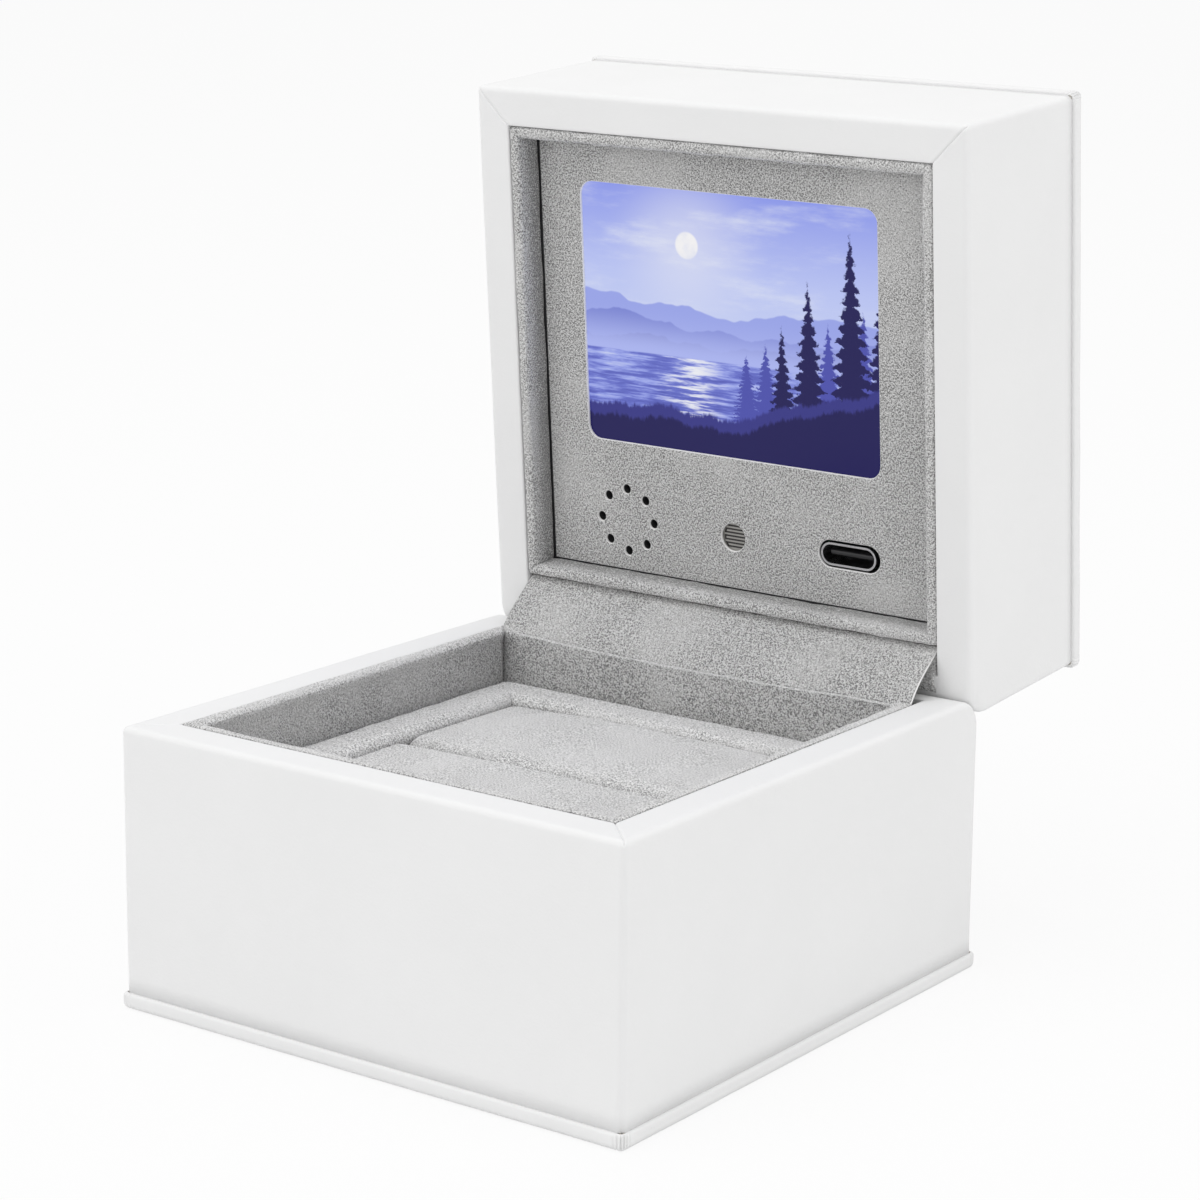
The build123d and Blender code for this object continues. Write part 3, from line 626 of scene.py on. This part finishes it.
def board_skin(seed):
    """Leather over a board below z = 0: a ledge, a rounded edge with a dip at each pucker, the face."""
    outer = 0.9 * mm
    ledge_rising, ledge_falling = quarter(0.4 * mm, 6)
    rising, falling = quarter(outer, 6)
    reach = np.array([half_x + board_proud, half_y + board_proud])
    inset = np.r_[np.array([2.0, 1.2, 0.8]) * mm, ledge_falling, 0, 0, rising,
                  np.array([1.6, 3, 6, 12, 20, 30]) * mm, reach[1]]
    height = np.r_[np.zeros(3), -ledge_rising, -0.9 * mm, -board + outer + 0.1 * mm, -board + falling,
                   np.full(7, -board)]
    ends = np.r_[np.linspace(0, 1.6, 17), 1.8, 2.2, 3, 4] * mm
    along = spread(2 * reach[0], ends, 1.5 * mm)
    strips = frame_strips((-reach[0], reach[0], -reach[1], reach[1]), inset, height, along)
    to_corner = 2 * reach[0] * np.minimum(along, 1 - along)[None, :]
    on_edge = ((inset < 1.3 * mm) & (height > -board + 0.5 * mm))[:, None]
    for side, strip in enumerate(strips):
        plan = round_corners(strip[..., :2], 0.0, reach, inset, outer)
        pucker = sum(deep * mm * dip(to_corner - at * mm, 0.13 * mm) for at, deep in (
            (0.25 + 0.1 * (side % 2), 0.3), (0.8, 0.24), (1.35, 0.15)))
        swell = sway(strip, 13 * mm, 0.035 * mm, seed) + sway(strip, 4 * mm, 0.012 * mm, seed + 5)
        shift = swell * (inset < 2 * mm)[:, None] - pucker * on_edge
        plan = plan + unit(strip[..., :2]) * shift[..., None]
        yield np.concatenate([plan, strip[..., 2:]], axis=-1)


bottom_skin = make_piece("bottom_leather", [lift(strip, board) for strip in board_skin(5)], white_leather)
thicken(bottom_skin, leather_thick)
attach(bottom_skin, "base")
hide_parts("bottom_wrap")
back_skin = make_piece("back_leather", [
    turn_over(strip, lid_rim + lid_tall) for strip in board_skin(6)], white_leather)
thicken(back_skin, leather_thick)
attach(back_skin, "lid")
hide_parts("back_wrap")

# %% [markdown]
# ## Velvet round the well and the bead of the lid
#
# The well is lined with card under velvet, and a velvet frame shows in the lid as a soft bead. Both are a
# closed profile carried round a rectangle, a little fuller in the middle of each strip than at its
# mitres, with edges that aren't quite straight.

# %% Velvet frames


def velvet_frame(rect, inset, height, seed, step=0.8 * mm, soft=0.05 * mm, mitre=(0.1 * mm, 0.1 * mm)):
    """A closed velvet profile round a rectangle, with soft edges and drawn-in mitres.

    Each point moves away from the profile's core by sway - mitre * dip(distance to the seam), with one
    depth of mitre for the outer face and one for the inner.
    """
    ends = np.array([0, 0.1, 0.2, 0.35, 0.6, 1.0, 1.5]) * mm
    along = spread(rect[1] - rect[0], ends, step)
    to_seam = (rect[1] - rect[0]) * np.minimum(along, 1 - along)[None, :]
    width = inset.max()
    out_in = inset - np.clip(inset, 0.3 * width, 0.55 * width)
    out_up = height - np.clip(height, height.min() + 0.3 * width, height.max() - 0.3 * width)
    size = np.maximum(np.hypot(out_in, out_up), 1e-9)
    drawn = np.where(inset > width / 2, mitre[1], mitre[0])[:, None]
    finished = []
    for side, flat in enumerate(frame_strips(rect, inset, height, along)):
        shift = sway(flat, 7 * mm, soft, seed) + sway(flat, 1.7 * mm, soft * 0.5, seed + 9)
        shift = shift - drawn * dip(to_seam, 0.28 * mm)
        finished.append(strip_of(rect, side, inset[:, None] + (out_in / size)[:, None] * shift,
                                 height[:, None] + (out_up / size)[:, None] * shift, along))
    return finished


def round_top(width, low, top, outer, inner, count=6, undercut=0.0):
    """A closed upright profile with rounded top edges and an inner foot that may be drawn under."""
    outer_rising, outer_falling = quarter(outer, count)
    inner_rising, inner_falling = quarter(inner, count)
    foot_rising, foot_falling = quarter(undercut, count if undercut else 1)
    inset = np.r_[0, 0, outer_rising, width - inner_falling, width, width - foot_rising]
    height = np.r_[low, (low + top) / 2, top - outer_falling, top - inner_rising, (low + top) / 2,
                   low + foot_falling]
    return inset, height


def rear_sag(x):
    """How far the soft rear edge of the well hangs between its ends: 1 - (x / span)^2."""
    return 0.62 * mm * np.clip(1 - ((x + 5 * mm) / (30 * mm)) ** 2, 0, 1)


velvet_thick, rolled_top = 1.0 * mm, 1.75 * mm
lining_top = rim_z + 0.06 * mm
inset, height = round_top(rolled_top, board + turn_in, lining_top, 0.12 * mm, 0.75 * mm)
inset[-2:] = velvet_thick
inset = np.insert(inset, -2, [1.5 * mm, velvet_thick])
height = np.insert(height, -2, lining_top - np.array([1.35, 2.0]) * mm)
well_rect = (liner_low.x, liner_high.x, liner_low.y, liner_high.y)
well_strips = velvet_frame(well_rect, inset, height, 21, mitre=(0.0, 0.62 * mm))
rear_top = lining_top - 0.5 * mm
rear = well_strips[2]
faded = np.clip((liner_high.x - rolled_top - abs(rear[..., 0])) / (1.2 * mm), 0, 1)
drop = lining_top - rear_top + rear_sag(rear[..., 0])
rear[..., 2] -= faded * np.where(rear[..., 2] > rim_z - 3 * mm, drop, 0)
rear[..., 1] += faded * np.maximum(liner_high.y - velvet_thick - rear[..., 1], 0)
well_lining = make_piece("well_lining", well_strips, grey_velvet, loop=True, weld=0.001 * mm)
well_lining.data.materials.append(lit_fold_velvet)
upward, tall = (read(well_lining.data.polygons, name)[:, 2] for name in ("normal", "center"))
# Painted light: faces of the rolled top that look upwards get the lighter copy of the velvet.
lit_top_faces = (upward > 0.4) & (tall > rim_z - 2 * mm)
well_lining.data.polygons.foreach_set("material_index", lit_top_faces.astype(int))
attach(well_lining, "base")
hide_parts("base_liner")

bead_width, bead_depth, bead_rear = 1.6 * mm, 4.2 * mm, 30.6 * mm
bead_rect = (liner_low.x, liner_high.x, liner_low.y, bead_rear)
inset, height = round_top(bead_width, -bead_depth - 0.4 * mm, 0.0, 0.5 * mm, 0.72 * mm,
                          undercut=0.45 * mm)
bead_strips = velvet_frame(bead_rect, inset, height, 31)


def facing(side):
    """Velvet on one end of the hinge rail, up over the rim: a closed flat band with pinched ends."""
    y = np.array([31.5, 32.2, 33.0, 33.7, 34.0, 34.25, 34.5, 34.8, 35.3, 36.0, 36.8]) * mm
    climb = np.clip((y - 33.7 * mm) / (1.1 * mm), 0, 1)
    climb = climb * climb * (3 - 2 * climb)
    middle = (0.58 * climb - 0.62) * mm
    half_thick = (0.38 - 0.24 * climb) * mm
    loop_y = np.r_[y[0] - 0.3 * mm, y, y[-1] + 0.2 * mm, y[::-1]]
    core_z = np.r_[middle[0], middle, middle[-1], middle[::-1]]
    loop_z = core_z + np.r_[0, half_thick, 0, -half_thick[::-1]]
    x = np.linspace(mortise_half + 0.5 * mm, liner_high.x, 14) * side
    full = np.ones(14)
    full[[0, -1]] = 0
    tall = core_z[:, None] + (loop_z - core_z)[:, None] * full
    grid = np.stack(np.broadcast_arrays(x[None, :], loop_y[:, None], tall), axis=-1)
    grid[..., 2] += sway(grid, 3 * mm, 0.03 * mm, 77)
    return grid


bead_strips += [facing(-1), facing(1)]
bead = make_piece("lid_bead", [turn_over(strip, lid_rim) for strip in bead_strips],
                  bead_velvet, loop=True, weld=0.001 * mm)
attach(bead, "lid")
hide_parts("lid_liner")

# %% [markdown]
# ## The ring cushion
#
# A padded border stands round two soft pads, and the ring goes in the slit between them. Foam under
# velvet is fullest in the middle, and the velvet is puckered where it turns down beside the pads. The
# rear pad rolls far down at the slit and the front pad only a little, so the slit is one clean edge.

# %% Ring cushion
border_low, border_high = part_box("ring_border")
border_width, border_radius = 7.0 * mm, 2.4 * mm


def ring_border():
    """The border: a wide profile with rolled edges, puckered along its inner edge."""
    rect = (border_low.x, border_high.x, border_low.y, border_high.y)
    inset, height = round_top(border_width, border_low.z, border_high.z - 0.15 * mm, border_radius,
                              1.5 * mm, 10)
    strips = velvet_frame(rect, inset, height, 41, step=0.45 * mm, soft=0.07 * mm,
                          mitre=(0.1 * mm, 0.06 * mm))
    inner = np.clip((inset - border_width + 1.3 * mm) / (1.3 * mm), 0, 1)[:, None]
    crown = (dip(inset - border_width / 2, 2.2 * mm) * (height > border_low.z + 4 * mm))[:, None]
    for side, strip in enumerate(strips):
        run = strip[..., side % 2]
        from_seam = abs(abs(strip[..., 0]) - abs(strip[..., 1] - (rect[2] + rect[3]) / 2))
        fade = 1 - dip(from_seam, 1.5 * mm)
        pucker = 0.1 * mm * np.sin(run / (0.95 * mm) * 2 * pi + 0.7 * np.sin(run / (4 * mm))) * inner
        strip[..., 2] += pucker * fade + 0.18 * mm * crown
        yield strip


border = make_piece("ring_border_velvet", ring_border(), cushion_velvet, loop=True, weld=0.001 * mm)
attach(border, "base")
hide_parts("ring_border")


def soft_pad(node, seed, slit_side, roll_depth, roll_width):
    """A crowned pad. Its edge towards the slit is rolled by -depth * (1 - distance / width)^2."""
    low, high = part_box(node)
    reach = np.array([high.x - low.x, high.y - low.y]) / 2
    middle = np.array([high.x + low.x, high.y + low.y]) / 2
    radius = 0.95 * mm
    rising, falling = quarter(radius, 7)
    inward = np.array([1.2, 1.5, 1.9, 2.4, 3.0, 3.7, 4.6, 6, 8, 10]) * mm
    inset = np.r_[reach[1], 6 * mm, 0, 0, 0, rising, inward, reach[1]]
    edge = high.z - 0.7 * mm
    height = np.r_[low.z, low.z, low.z, low.z + 5 * mm, edge - radius - 1 * mm, edge - falling,
                   np.full(len(inward) + 1, edge)]
    ends = np.array([0, 0.2, 0.5, 0.8, 1.1, 1.4, 1.8, 2.4, 3.0]) * mm
    along = spread(high.x - low.x, ends, 0.8 * mm)
    for strip in frame_strips((low.x, high.x, low.y, high.y), inset, height, along):
        plan = round_corners(strip[..., :2], middle, reach, inset, 1.7 * mm)
        x, y = np.moveaxis((plan - middle) / reach, -1, 0)
        from_slit = reach[1] * (1 - y * slit_side)
        top = np.clip((strip[..., 2] - edge + 3 * mm) / (3 * mm), 0, 1)
        crown = 0.66 * mm * (1 - x ** 2) * (1 - 0.35 * y ** 2)
        roll = -roll_depth * np.clip(1 - from_slit / roll_width, 0, 1) ** 2
        rough = sway(strip, 15 * mm, 0.09 * mm, seed) + sway(strip, 2.2 * mm, 0.022 * mm, seed + 3)
        tall = strip[..., 2] + (crown + roll + rough) * top
        yield np.concatenate([plan, tall[..., None]], axis=-1)


for node, seed, slit_side, roll_depth, roll_width in (
        ("ring_pad_front", 51, 1, 0.3 * mm, 1.1 * mm), ("ring_pad_rear", 61, -1, 2.0 * mm, 3.8 * mm)):
    pad = make_piece(node + "_velvet", soft_pad(node, seed, slit_side, roll_depth, roll_width),
                     cushion_velvet, weld=0.001 * mm)
    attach(pad, "base")
    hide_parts(node)

# %% [markdown]
# ## The flap over the hinge
#
# A strip of velvet runs from under the lid's bead to the top of the rear lining and hides the hinge. It
# bellies a little between its two glued edges. When the lid shuts it folds down into the trough in front
# of the hinge; here it is drawn only as it lies with the lid open.

# %% Hinge flap
flap_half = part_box("hinge_flap")[1].x
flap_start = np.array([31.45 * mm, rear_top - 0.25 * mm])
flap_end = turn_open(np.array([0, 30.86 * mm, lid_rim + 1.37 * mm]))[1:]


def flap_surface():
    """Points of the flap: across from side to side, and up a shallow arc from base to lid."""
    across = np.linspace(-1, 1, 141)[None, :]
    climb = np.linspace(0, 1, 25)[:, None]
    run = flap_end - flap_start
    out = np.array([-run[1], run[0]]) / np.linalg.norm(run)
    line = flap_start + climb[..., None] * run
    belly = (0.42 * np.sin(pi * climb) ** 0.8 + 0.1 * np.sin(2 * pi * climb)) * mm
    curl = 0.25 * mm * abs(across) ** 24 * (1 - climb)
    x = flap_half * across * (1 - 0.004 * np.sin(pi * climb))
    points = np.stack(np.broadcast_arrays(x, line[..., 0], line[..., 1]), axis=-1)
    shift = belly + curl + sway(points, 13 * mm, 0.05 * mm, 71) * np.sin(pi * climb)
    points[..., 1:] += out * shift[..., None]
    points[..., 2] -= rear_sag(points[..., 0]) * (1 - climb) ** 3
    return points


flap = make_piece("hinge_flap_velvet", [flap_surface()], lid_velvet, weld=0.001 * mm)
flap.data.materials.append(cut_edge)
thicken(flap, 0.32 * mm, middle=True, rim_material=1)
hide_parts("hinge_flap")
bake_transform(flap)

# %% [markdown]
# ## The hinge spring
#
# The torsion spring lies round the pin, with a leg on each leaf. Its CAD mesh is copied as it stands,
# and the copy gets the spring's finish with the other pieces.

# %% Hinge spring
spring = add_object("spring_wire", nodes["hinge_spring"].data.copy())
spring.matrix_world = nodes["hinge_spring"].matrix_world
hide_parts("hinge_spring")
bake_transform(spring)
print("spring wire:", len(spring.data.vertices), "points")

# %% [markdown]
# ## The velvet on the screen panel
#
# This sheet has many holes, so it is a flat curve with an outline for each: the window, eight speaker
# holes, the light sensor and the port. A small bevel rolls the cut edges over, as a steel rule die does.

# %% Panel velvet
window_size = (49.0 * mm, 37.0 * mm)
window_x, window_v = -1.05 * mm, 48.5 * mm
row_v = 18.55 * mm
speaker_x, sensor_x, port_x = -19.3 * mm, -1.0 * mm, 18.1 * mm


def rounded_outline(cx, cy, width, height, radius, count=10):
    """Points round a rectangle with rounded corners."""
    angle = (np.linspace(0, pi / 2, count) + np.arange(4)[:, None] * pi / 2).ravel()
    side = np.repeat([(1, 1), (-1, 1), (-1, -1), (1, -1)], count, axis=0)
    middle = np.array([cx, cy]) + side * (np.array([width, height]) / 2 - radius)
    return middle + radius * np.stack([np.cos(angle), np.sin(angle)], axis=-1)


def ring_outline(cx, cy, radius, count=28):
    """Points round a circle."""
    angle = np.arange(count) / count * 2 * pi
    return np.stack([cx + radius * np.cos(angle), cy + radius * np.sin(angle)], axis=-1)


def panel_outlines():
    """The sheet and its holes in the shut lid. A dark gap shows at its left and its lower edge."""
    left, right = liner_low.x + bead_width + 0.45 * mm, liner_high.x - bead_width - 0.05 * mm
    top, low = liner_low.y + bead_width + 0.05 * mm, bead_rear - bead_width - 0.2 * mm
    row = half_y - row_v
    outlines = [np.array([(left, top), (right, top), (right, low), (left, low)]),
                rounded_outline(window_x, half_y - window_v, *window_size, 2.0 * mm),
                ring_outline(sensor_x, row, 2.0 * mm),
                rounded_outline(port_x + 0.15 * mm, row, 10.0 * mm, 3.9 * mm, 1.949 * mm)]
    for angle in np.arange(8) * pi / 4:
        outlines.append(ring_outline(speaker_x + 4.55 * mm * cos(angle), row + 4.55 * mm * sin(angle),
                                     0.7 * mm))
    return outlines


def panel_sheet():
    """The filled and bevelled curve, as a mesh that lies in the open lid."""
    roll = 0.15 * mm
    curve = bpy.data.curves.new("panel_curve", "CURVE")
    curve.dimensions = "2D"
    curve.fill_mode = "BOTH"
    curve.extrude = 0.25 * mm - roll
    curve.bevel_depth = roll
    curve.bevel_resolution = 2
    curve.offset = -roll
    for outline in panel_outlines():
        spline = curve.splines.new("POLY")
        spline.points.add(len(outline) - 1)
        spline.points.foreach_set("co", np.insert(outline, 2, [[0], [1]], axis=1).ravel())
        spline.use_cyclic_u = True
    holder = add_object("panel_curve", curve)
    mesh = final_mesh(holder)
    bpy.data.objects.remove(holder)
    weld_points(mesh, 0.002 * mm)
    placed = turn_open(lift(read(mesh.vertices, "co"), lid_rim + bead_depth + 0.25 * mm))
    mesh.vertices.foreach_set("co", placed.ravel())
    mesh.materials.append(lid_velvet)
    mesh.materials.append(cut_edge)
    mesh.update()
    facing_front = abs(read(mesh.polygons, "normal") @ np.array([0, sin(opened), cos(opened)]))
    mesh.polygons.foreach_set("material_index", (facing_front < 0.8).astype(int))
    return add_object("screen_panel_velvet", mesh)


panel = panel_sheet()
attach(panel, "lid")
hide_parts("panel_velvet")

# %% [markdown]
# ## The picture on the screen
#
# The screen is lit, so its picture is light and not paint. It shows a lake at night in lavender and
# indigo: a sky that pales towards the hills, three ranges that darken as they come nearer, a moon with
# its glitter on the water, and pines on the bank. A range is a line of noise with the land below it.

# %% Screen


def pine(across, tall, middle, base, top, half, tiers):
    """Where a pine stands: |x - middle| < half * down * (0.5 to 1, sawn into tiers of branches)."""
    down = (top - tall) / (top - base)
    branches = (down * tiers + abs(across - middle) * 9).fract() * 0.5 + 0.5
    return (down.most(0.0) * branches * half - 0.004 - abs(across - middle)).step(-0.003, 0.003)


def screen_picture():
    """The lit screen: across and tall run from 0 to 1 over the window."""
    paint = Paint("screen_picture")
    centred = paint.moved(paint.node("TexCoord", {}, "Object"), Location=(0, -axis_y, -axis_z))
    x, y, _ = paint.axes(paint.moved(centred, Rotation=(opened, 0, 0)))
    middle = half_y - window_v - axis_y
    across = (x - window_x + window_size[0] / 2) / window_size[0]
    tall = (middle + window_size[1] / 2 - y) / window_size[1]
    plane = paint.flat(across * 1.32, tall)

    def line(scale, offset):
        """A ragged line: noise that changes only across the picture."""
        return paint.noise(paint.flat(across * scale + offset, 0.37), 1.0, 4.0) - 0.5

    def stretched(wide, high, turn=0.0):
        """The picture's plane, stretched for clouds or ripples."""
        return paint.moved(plane, Scale=(wide, high, 1.0), Rotation=(0, 0, radians(turn)))

    sky = paint.ramp((tall - 0.4) / 0.6, [
        (0.0, (0.66, 0.73, 1.0, 1)), (0.45, (0.55, 0.62, 1.0, 1)), (1.0, (0.3, 0.36, 0.92, 1))])
    clouds = paint.noise(stretched(2.0, 8.5, 9), 1.0, 6.0, 0.62).step(0.46, 0.8)
    picture = paint.mix(clouds * 0.75, sky, (0.84, 0.88, 1.0, 1))
    moon_x, moon_y = 0.36, 0.79
    dx, dy = (across - moon_x) * 1.32, tall - moon_y
    from_moon = (dx * dx + dy * dy) ** 0.5
    picture = paint.mix((1 - from_moon.step(0.02, 0.4)) * 0.5, picture, (0.9, 0.92, 1.0, 1))
    seas = paint.noise(stretched(13.0, 13.0), 1.0, 3.0, 0.55).step(0.4, 0.66)
    disc = paint.mix(seas * 0.55, (1.0, 0.99, 1.0, 1), (0.8, 0.83, 0.98, 1))
    picture = paint.mix(1 - from_moon.step(0.046, 0.056), picture, disc)
    shore = 0.36
    for scale, offset, base, swing, colour in (
            (2.4, 5.3, 0.56, 0.3, (0.36, 0.42, 0.9, 1)), (3.4, 7.9, 0.485, 0.26, (0.2, 0.24, 0.7, 1)),
            (5.0, 4.2, 0.42, 0.18, (0.075, 0.085, 0.42, 1))):
        mist = (tall - shore).step(0.0, 0.2)
        shade = paint.mix(1 - mist, colour, (0.46, 0.52, 0.97, 1))
        above = line(scale, offset) * swing + base - tall
        picture = paint.mix(above.step(-0.003, 0.005), picture, shade)
    ripple = paint.noise(stretched(4.5, 46.0), 1.0, 4.0, 0.62)
    lake = paint.ramp(ripple.step(0.26, 0.82) * 0.72 + tall * 0.75, [
        (0.0, (0.05, 0.055, 0.34, 1)), (0.4, (0.16, 0.19, 0.66, 1)), (0.62, (0.36, 0.42, 0.92, 1)),
        (1.0, (0.72, 0.78, 1.0, 1))])
    glitter = (1 - abs(across - moon_x).step(0.01, 0.14)) * ripple.step(0.46, 0.62)
    lake = paint.mix(glitter, lake, (0.95, 0.96, 1.0, 1))
    picture = paint.mix((shore - tall).step(-0.003, 0.004), picture, lake)
    night = (0.016, 0.013, 0.1, 1)
    rough_x = paint.noise(stretched(42.0, 42.0), 1.0, 3.0, 0.6) - 0.5
    rough_y = paint.noise(stretched(55.0, 47.0, 31), 1.0, 3.0, 0.6) - 0.5
    for ragged, trees, colour in (
            (0.03, ((0.83, 0.3, 0.58, 0.05, 10), (0.62, 0.31, 0.47, 0.034, 8),
                     (0.945, 0.3, 0.64, 0.055, 11), (0.555, 0.32, 0.42, 0.024, 7)), (0.085, 0.095, 0.46, 1)),
            (0.036, ((0.905, 0.16, 0.93, 0.098, 15), (0.765, 0.18, 0.73, 0.078, 12),
                     (1.01, 0.16, 0.8, 0.09, 13), (0.675, 0.22, 0.55, 0.05, 10)), night)):
        bend_x, bend_y = across + rough_x * ragged, tall + rough_y * ragged
        for place in trees:
            picture = paint.mix(pine(bend_x, bend_y, *place), picture, colour)
    tuft = paint.noise(stretched(70.0, 16.0, 8), 1.0, 3.0, 0.6) - 0.5
    bank = line(4.6, 2.2) * 0.16 + 0.12 + (across - 0.55).most(0.0) * 0.42 + tuft * 0.05
    picture = paint.mix((bank + 0.035 - tall).step(-0.006, 0.012), picture, (0.045, 0.045, 0.26, 1))
    picture = paint.mix((bank - 0.012 - tall).step(-0.006, 0.012), picture, night)
    paint.set({"Base Color": (0.008, 0.008, 0.012, 1), "Roughness": 0.2, "Specular IOR Level": 0.12,
               "Emission Color": picture, "Emission Strength": 0.86})
    return paint.material


# %% [markdown]
# ## Metals, plastics and board
#
# The rigid pieces keep their CAD meshes and get a plain finish each: colour specks, uneven roughness and
# a fine bump, from two scales of noise.

# %% Finishes


def finish(name, colour, rough, metal=0.0, speck=0.12, scale=900, bump=0.15, coat=0.0):
    """A plain finish with colour specks, uneven roughness and a fine bump."""
    paint = Paint(name)
    at = paint.place()
    coarse = paint.noise(at, scale / 6, 3.0)
    fine = paint.noise(at, scale)
    dark = tuple(c * (1 - speck) for c in colour) + (1,)
    light = tuple(min(c * (1 + speck), 1) for c in colour) + (1,)
    specks = coarse.step(0.3, 0.7) * 0.5 + fine.step(0.3, 0.7) * 0.5
    paint.set({"Base Color": paint.mix(specks, dark, light), "Roughness": rough * 0.8 + fine * rough * 0.4,
               "Metallic": metal, "Coat Weight": coat})
    paint.bump(fine + coarse, bump, 0.03 * mm)
    return paint.material


finishes = {
    "case_board": finish("pressed_board", (0.6, 0.55, 0.47), 0.85, speck=0.2, scale=1500),
    # The hinge rail is near black as painted shade: it makes the gaps beside and under the flap read dark.
    "hinge_wood": finish("stained_wood", (0.045, 0.038, 0.033), 0.7, speck=0.3, scale=700),
    "cushion_foam": finish("cell_foam", (0.8, 0.78, 0.72), 0.95, speck=0.1, scale=2600, bump=0.6),
    "plated_steel": finish("zinc_plate", (0.7, 0.68, 0.62), 0.32, 1.0),
    "spring_steel": finish("drawn_wire", (0.56, 0.56, 0.58), 0.25, 1.0),
    "panel_plastic": finish("moulded_dark_grey", (0.045, 0.045, 0.047), 0.5),
    "clear_acrylic": finish("clear_acrylic", (0.86, 0.88, 0.9), 0.1, coat=0.5),
    "tray_steel": finish("pressed_sheet", (0.74, 0.74, 0.76), 0.3, 1.0),
    "amber_film": finish("amber_film", (0.62, 0.3, 0.06), 0.25, coat=0.4),
    "board_green": finish("solder_mask", (0.03, 0.2, 0.08), 0.3, coat=0.5),
    "black_plastic": finish("moulded_black", (0.016, 0.016, 0.018), 0.42),
    "socket_plastic": finish("moulded_cream", (0.8, 0.77, 0.66), 0.45),
    "port_steel": finish("bright_steel", (0.62, 0.62, 0.63), 0.22, 1.0, speck=0.05),
    "sensor_ceramic": finish("sensor_ceramic", (0.38, 0.37, 0.35), 0.35, coat=0.5),
    "sensor_track": finish("sensor_track", (0.022, 0.02, 0.019), 0.4, coat=0.5),
    "tinned_wire": finish("tinned_wire", (0.78, 0.78, 0.8), 0.25, 1.0),
    "cone_paper": finish("pressed_paper", (0.018, 0.018, 0.02), 0.8),
    "coil_copper": finish("enamelled_copper", (0.7, 0.3, 0.14), 0.25, 1.0),
    "magnet_metal": finish("nickel_plate", (0.6, 0.59, 0.57), 0.28, 1.0),
    "cell_foil": finish("foil_pouch", (0.7, 0.71, 0.73), 0.35, 0.9, bump=0.4),
    "lead_insulation": finish("red_insulation", (0.55, 0.03, 0.03), 0.4),
    "display_glass": screen_picture(),
    "white_leatherette": white_leather,
    "grey_velvet": grey_velvet,
}
slots = {entry["node"]: entry["material_slot"] for entry in frame["record"]["subparts"]}
for name, part in [*nodes.items(), ("hinge_spring", spring)]:
    part.data.materials.clear()
    part.data.materials.append(finishes[slots[name]])
print("finished", len(nodes), "CAD nodes")

# %% [markdown]
# ## Floor and light
#
# The photograph was lit by a bright white room, so the object hardly casts a shadow. A pale world does
# most of the work, and three large soft lamps shape the top, the right side and the front. Part of what
# the camera sees of the floor is plain white, so it stays white and a soft shadow still shows.

# %% Floor and light


def pale_floor():
    """A plain floor, 24 m wide, whose shadow is kept and whose colour reads as white."""
    paint = Paint("floor")
    paint.set({"Base Color": grey(0.8), "Roughness": 0.9})
    white = paint.node("Emission", {"Strength": 1.0})
    share = paint.node("LightPath", {}, "Is Camera Ray") * 0.88
    seen = paint.node("MixShader", {0: share, 1: Value(paint, paint.main.outputs[0]), 2: white})
    paint.plug(paint.tree.nodes["Material Output"].inputs[0], seen)
    mesh = bpy.data.meshes.new("floor")
    mesh.from_pydata([(-12, -12, 0), (12, -12, 0), (12, 12, 0), (-12, 12, 0)], [], [(0, 1, 2, 3)])
    mesh.materials.append(paint.material)
    floor = add_object("floor", mesh)


def pale_world(light):
    """A world that lights the object evenly and shows as white."""
    paint = Paint("studio", "worlds", "Background")
    seen = paint.node("LightPath", {}, "Is Camera Ray") + paint.node("LightPath", {}, "Is Glossy Ray")
    paint.set({"Color": (1, 1, 1, 1), "Strength": light + seen.least(1.0) * (1 - light)})
    bpy.context.scene.world = paint.material


def soft_lamp(name, place, size, power):
    """A square lamp that faces the box."""
    lamp = bpy.data.lights.new(name, "AREA")
    lamp.shape = "SQUARE"
    lamp.size = size
    lamp.energy = power
    direction = Vector((0, 0, 0.05)) - Vector(place)
    add_object(name, lamp).matrix_world = (
        Matrix.Translation(place) @ direction.to_track_quat("-Z", "Y").to_matrix().to_4x4())


pale_floor()
pale_world(0.75)
soft_lamp("top_lamp", (-0.15, -0.25, 1.1), 0.9, 3.8)
soft_lamp("right_lamp", (1.0, 0.25, 0.45), 0.8, 2.45)
soft_lamp("front_lamp", (-0.45, -1.1, 0.4), 0.9, 2.3)

# %% [markdown]
# ## Finish
#
# The view layer is brought up to date.

# %% Finish
bpy.context.view_layer.update()
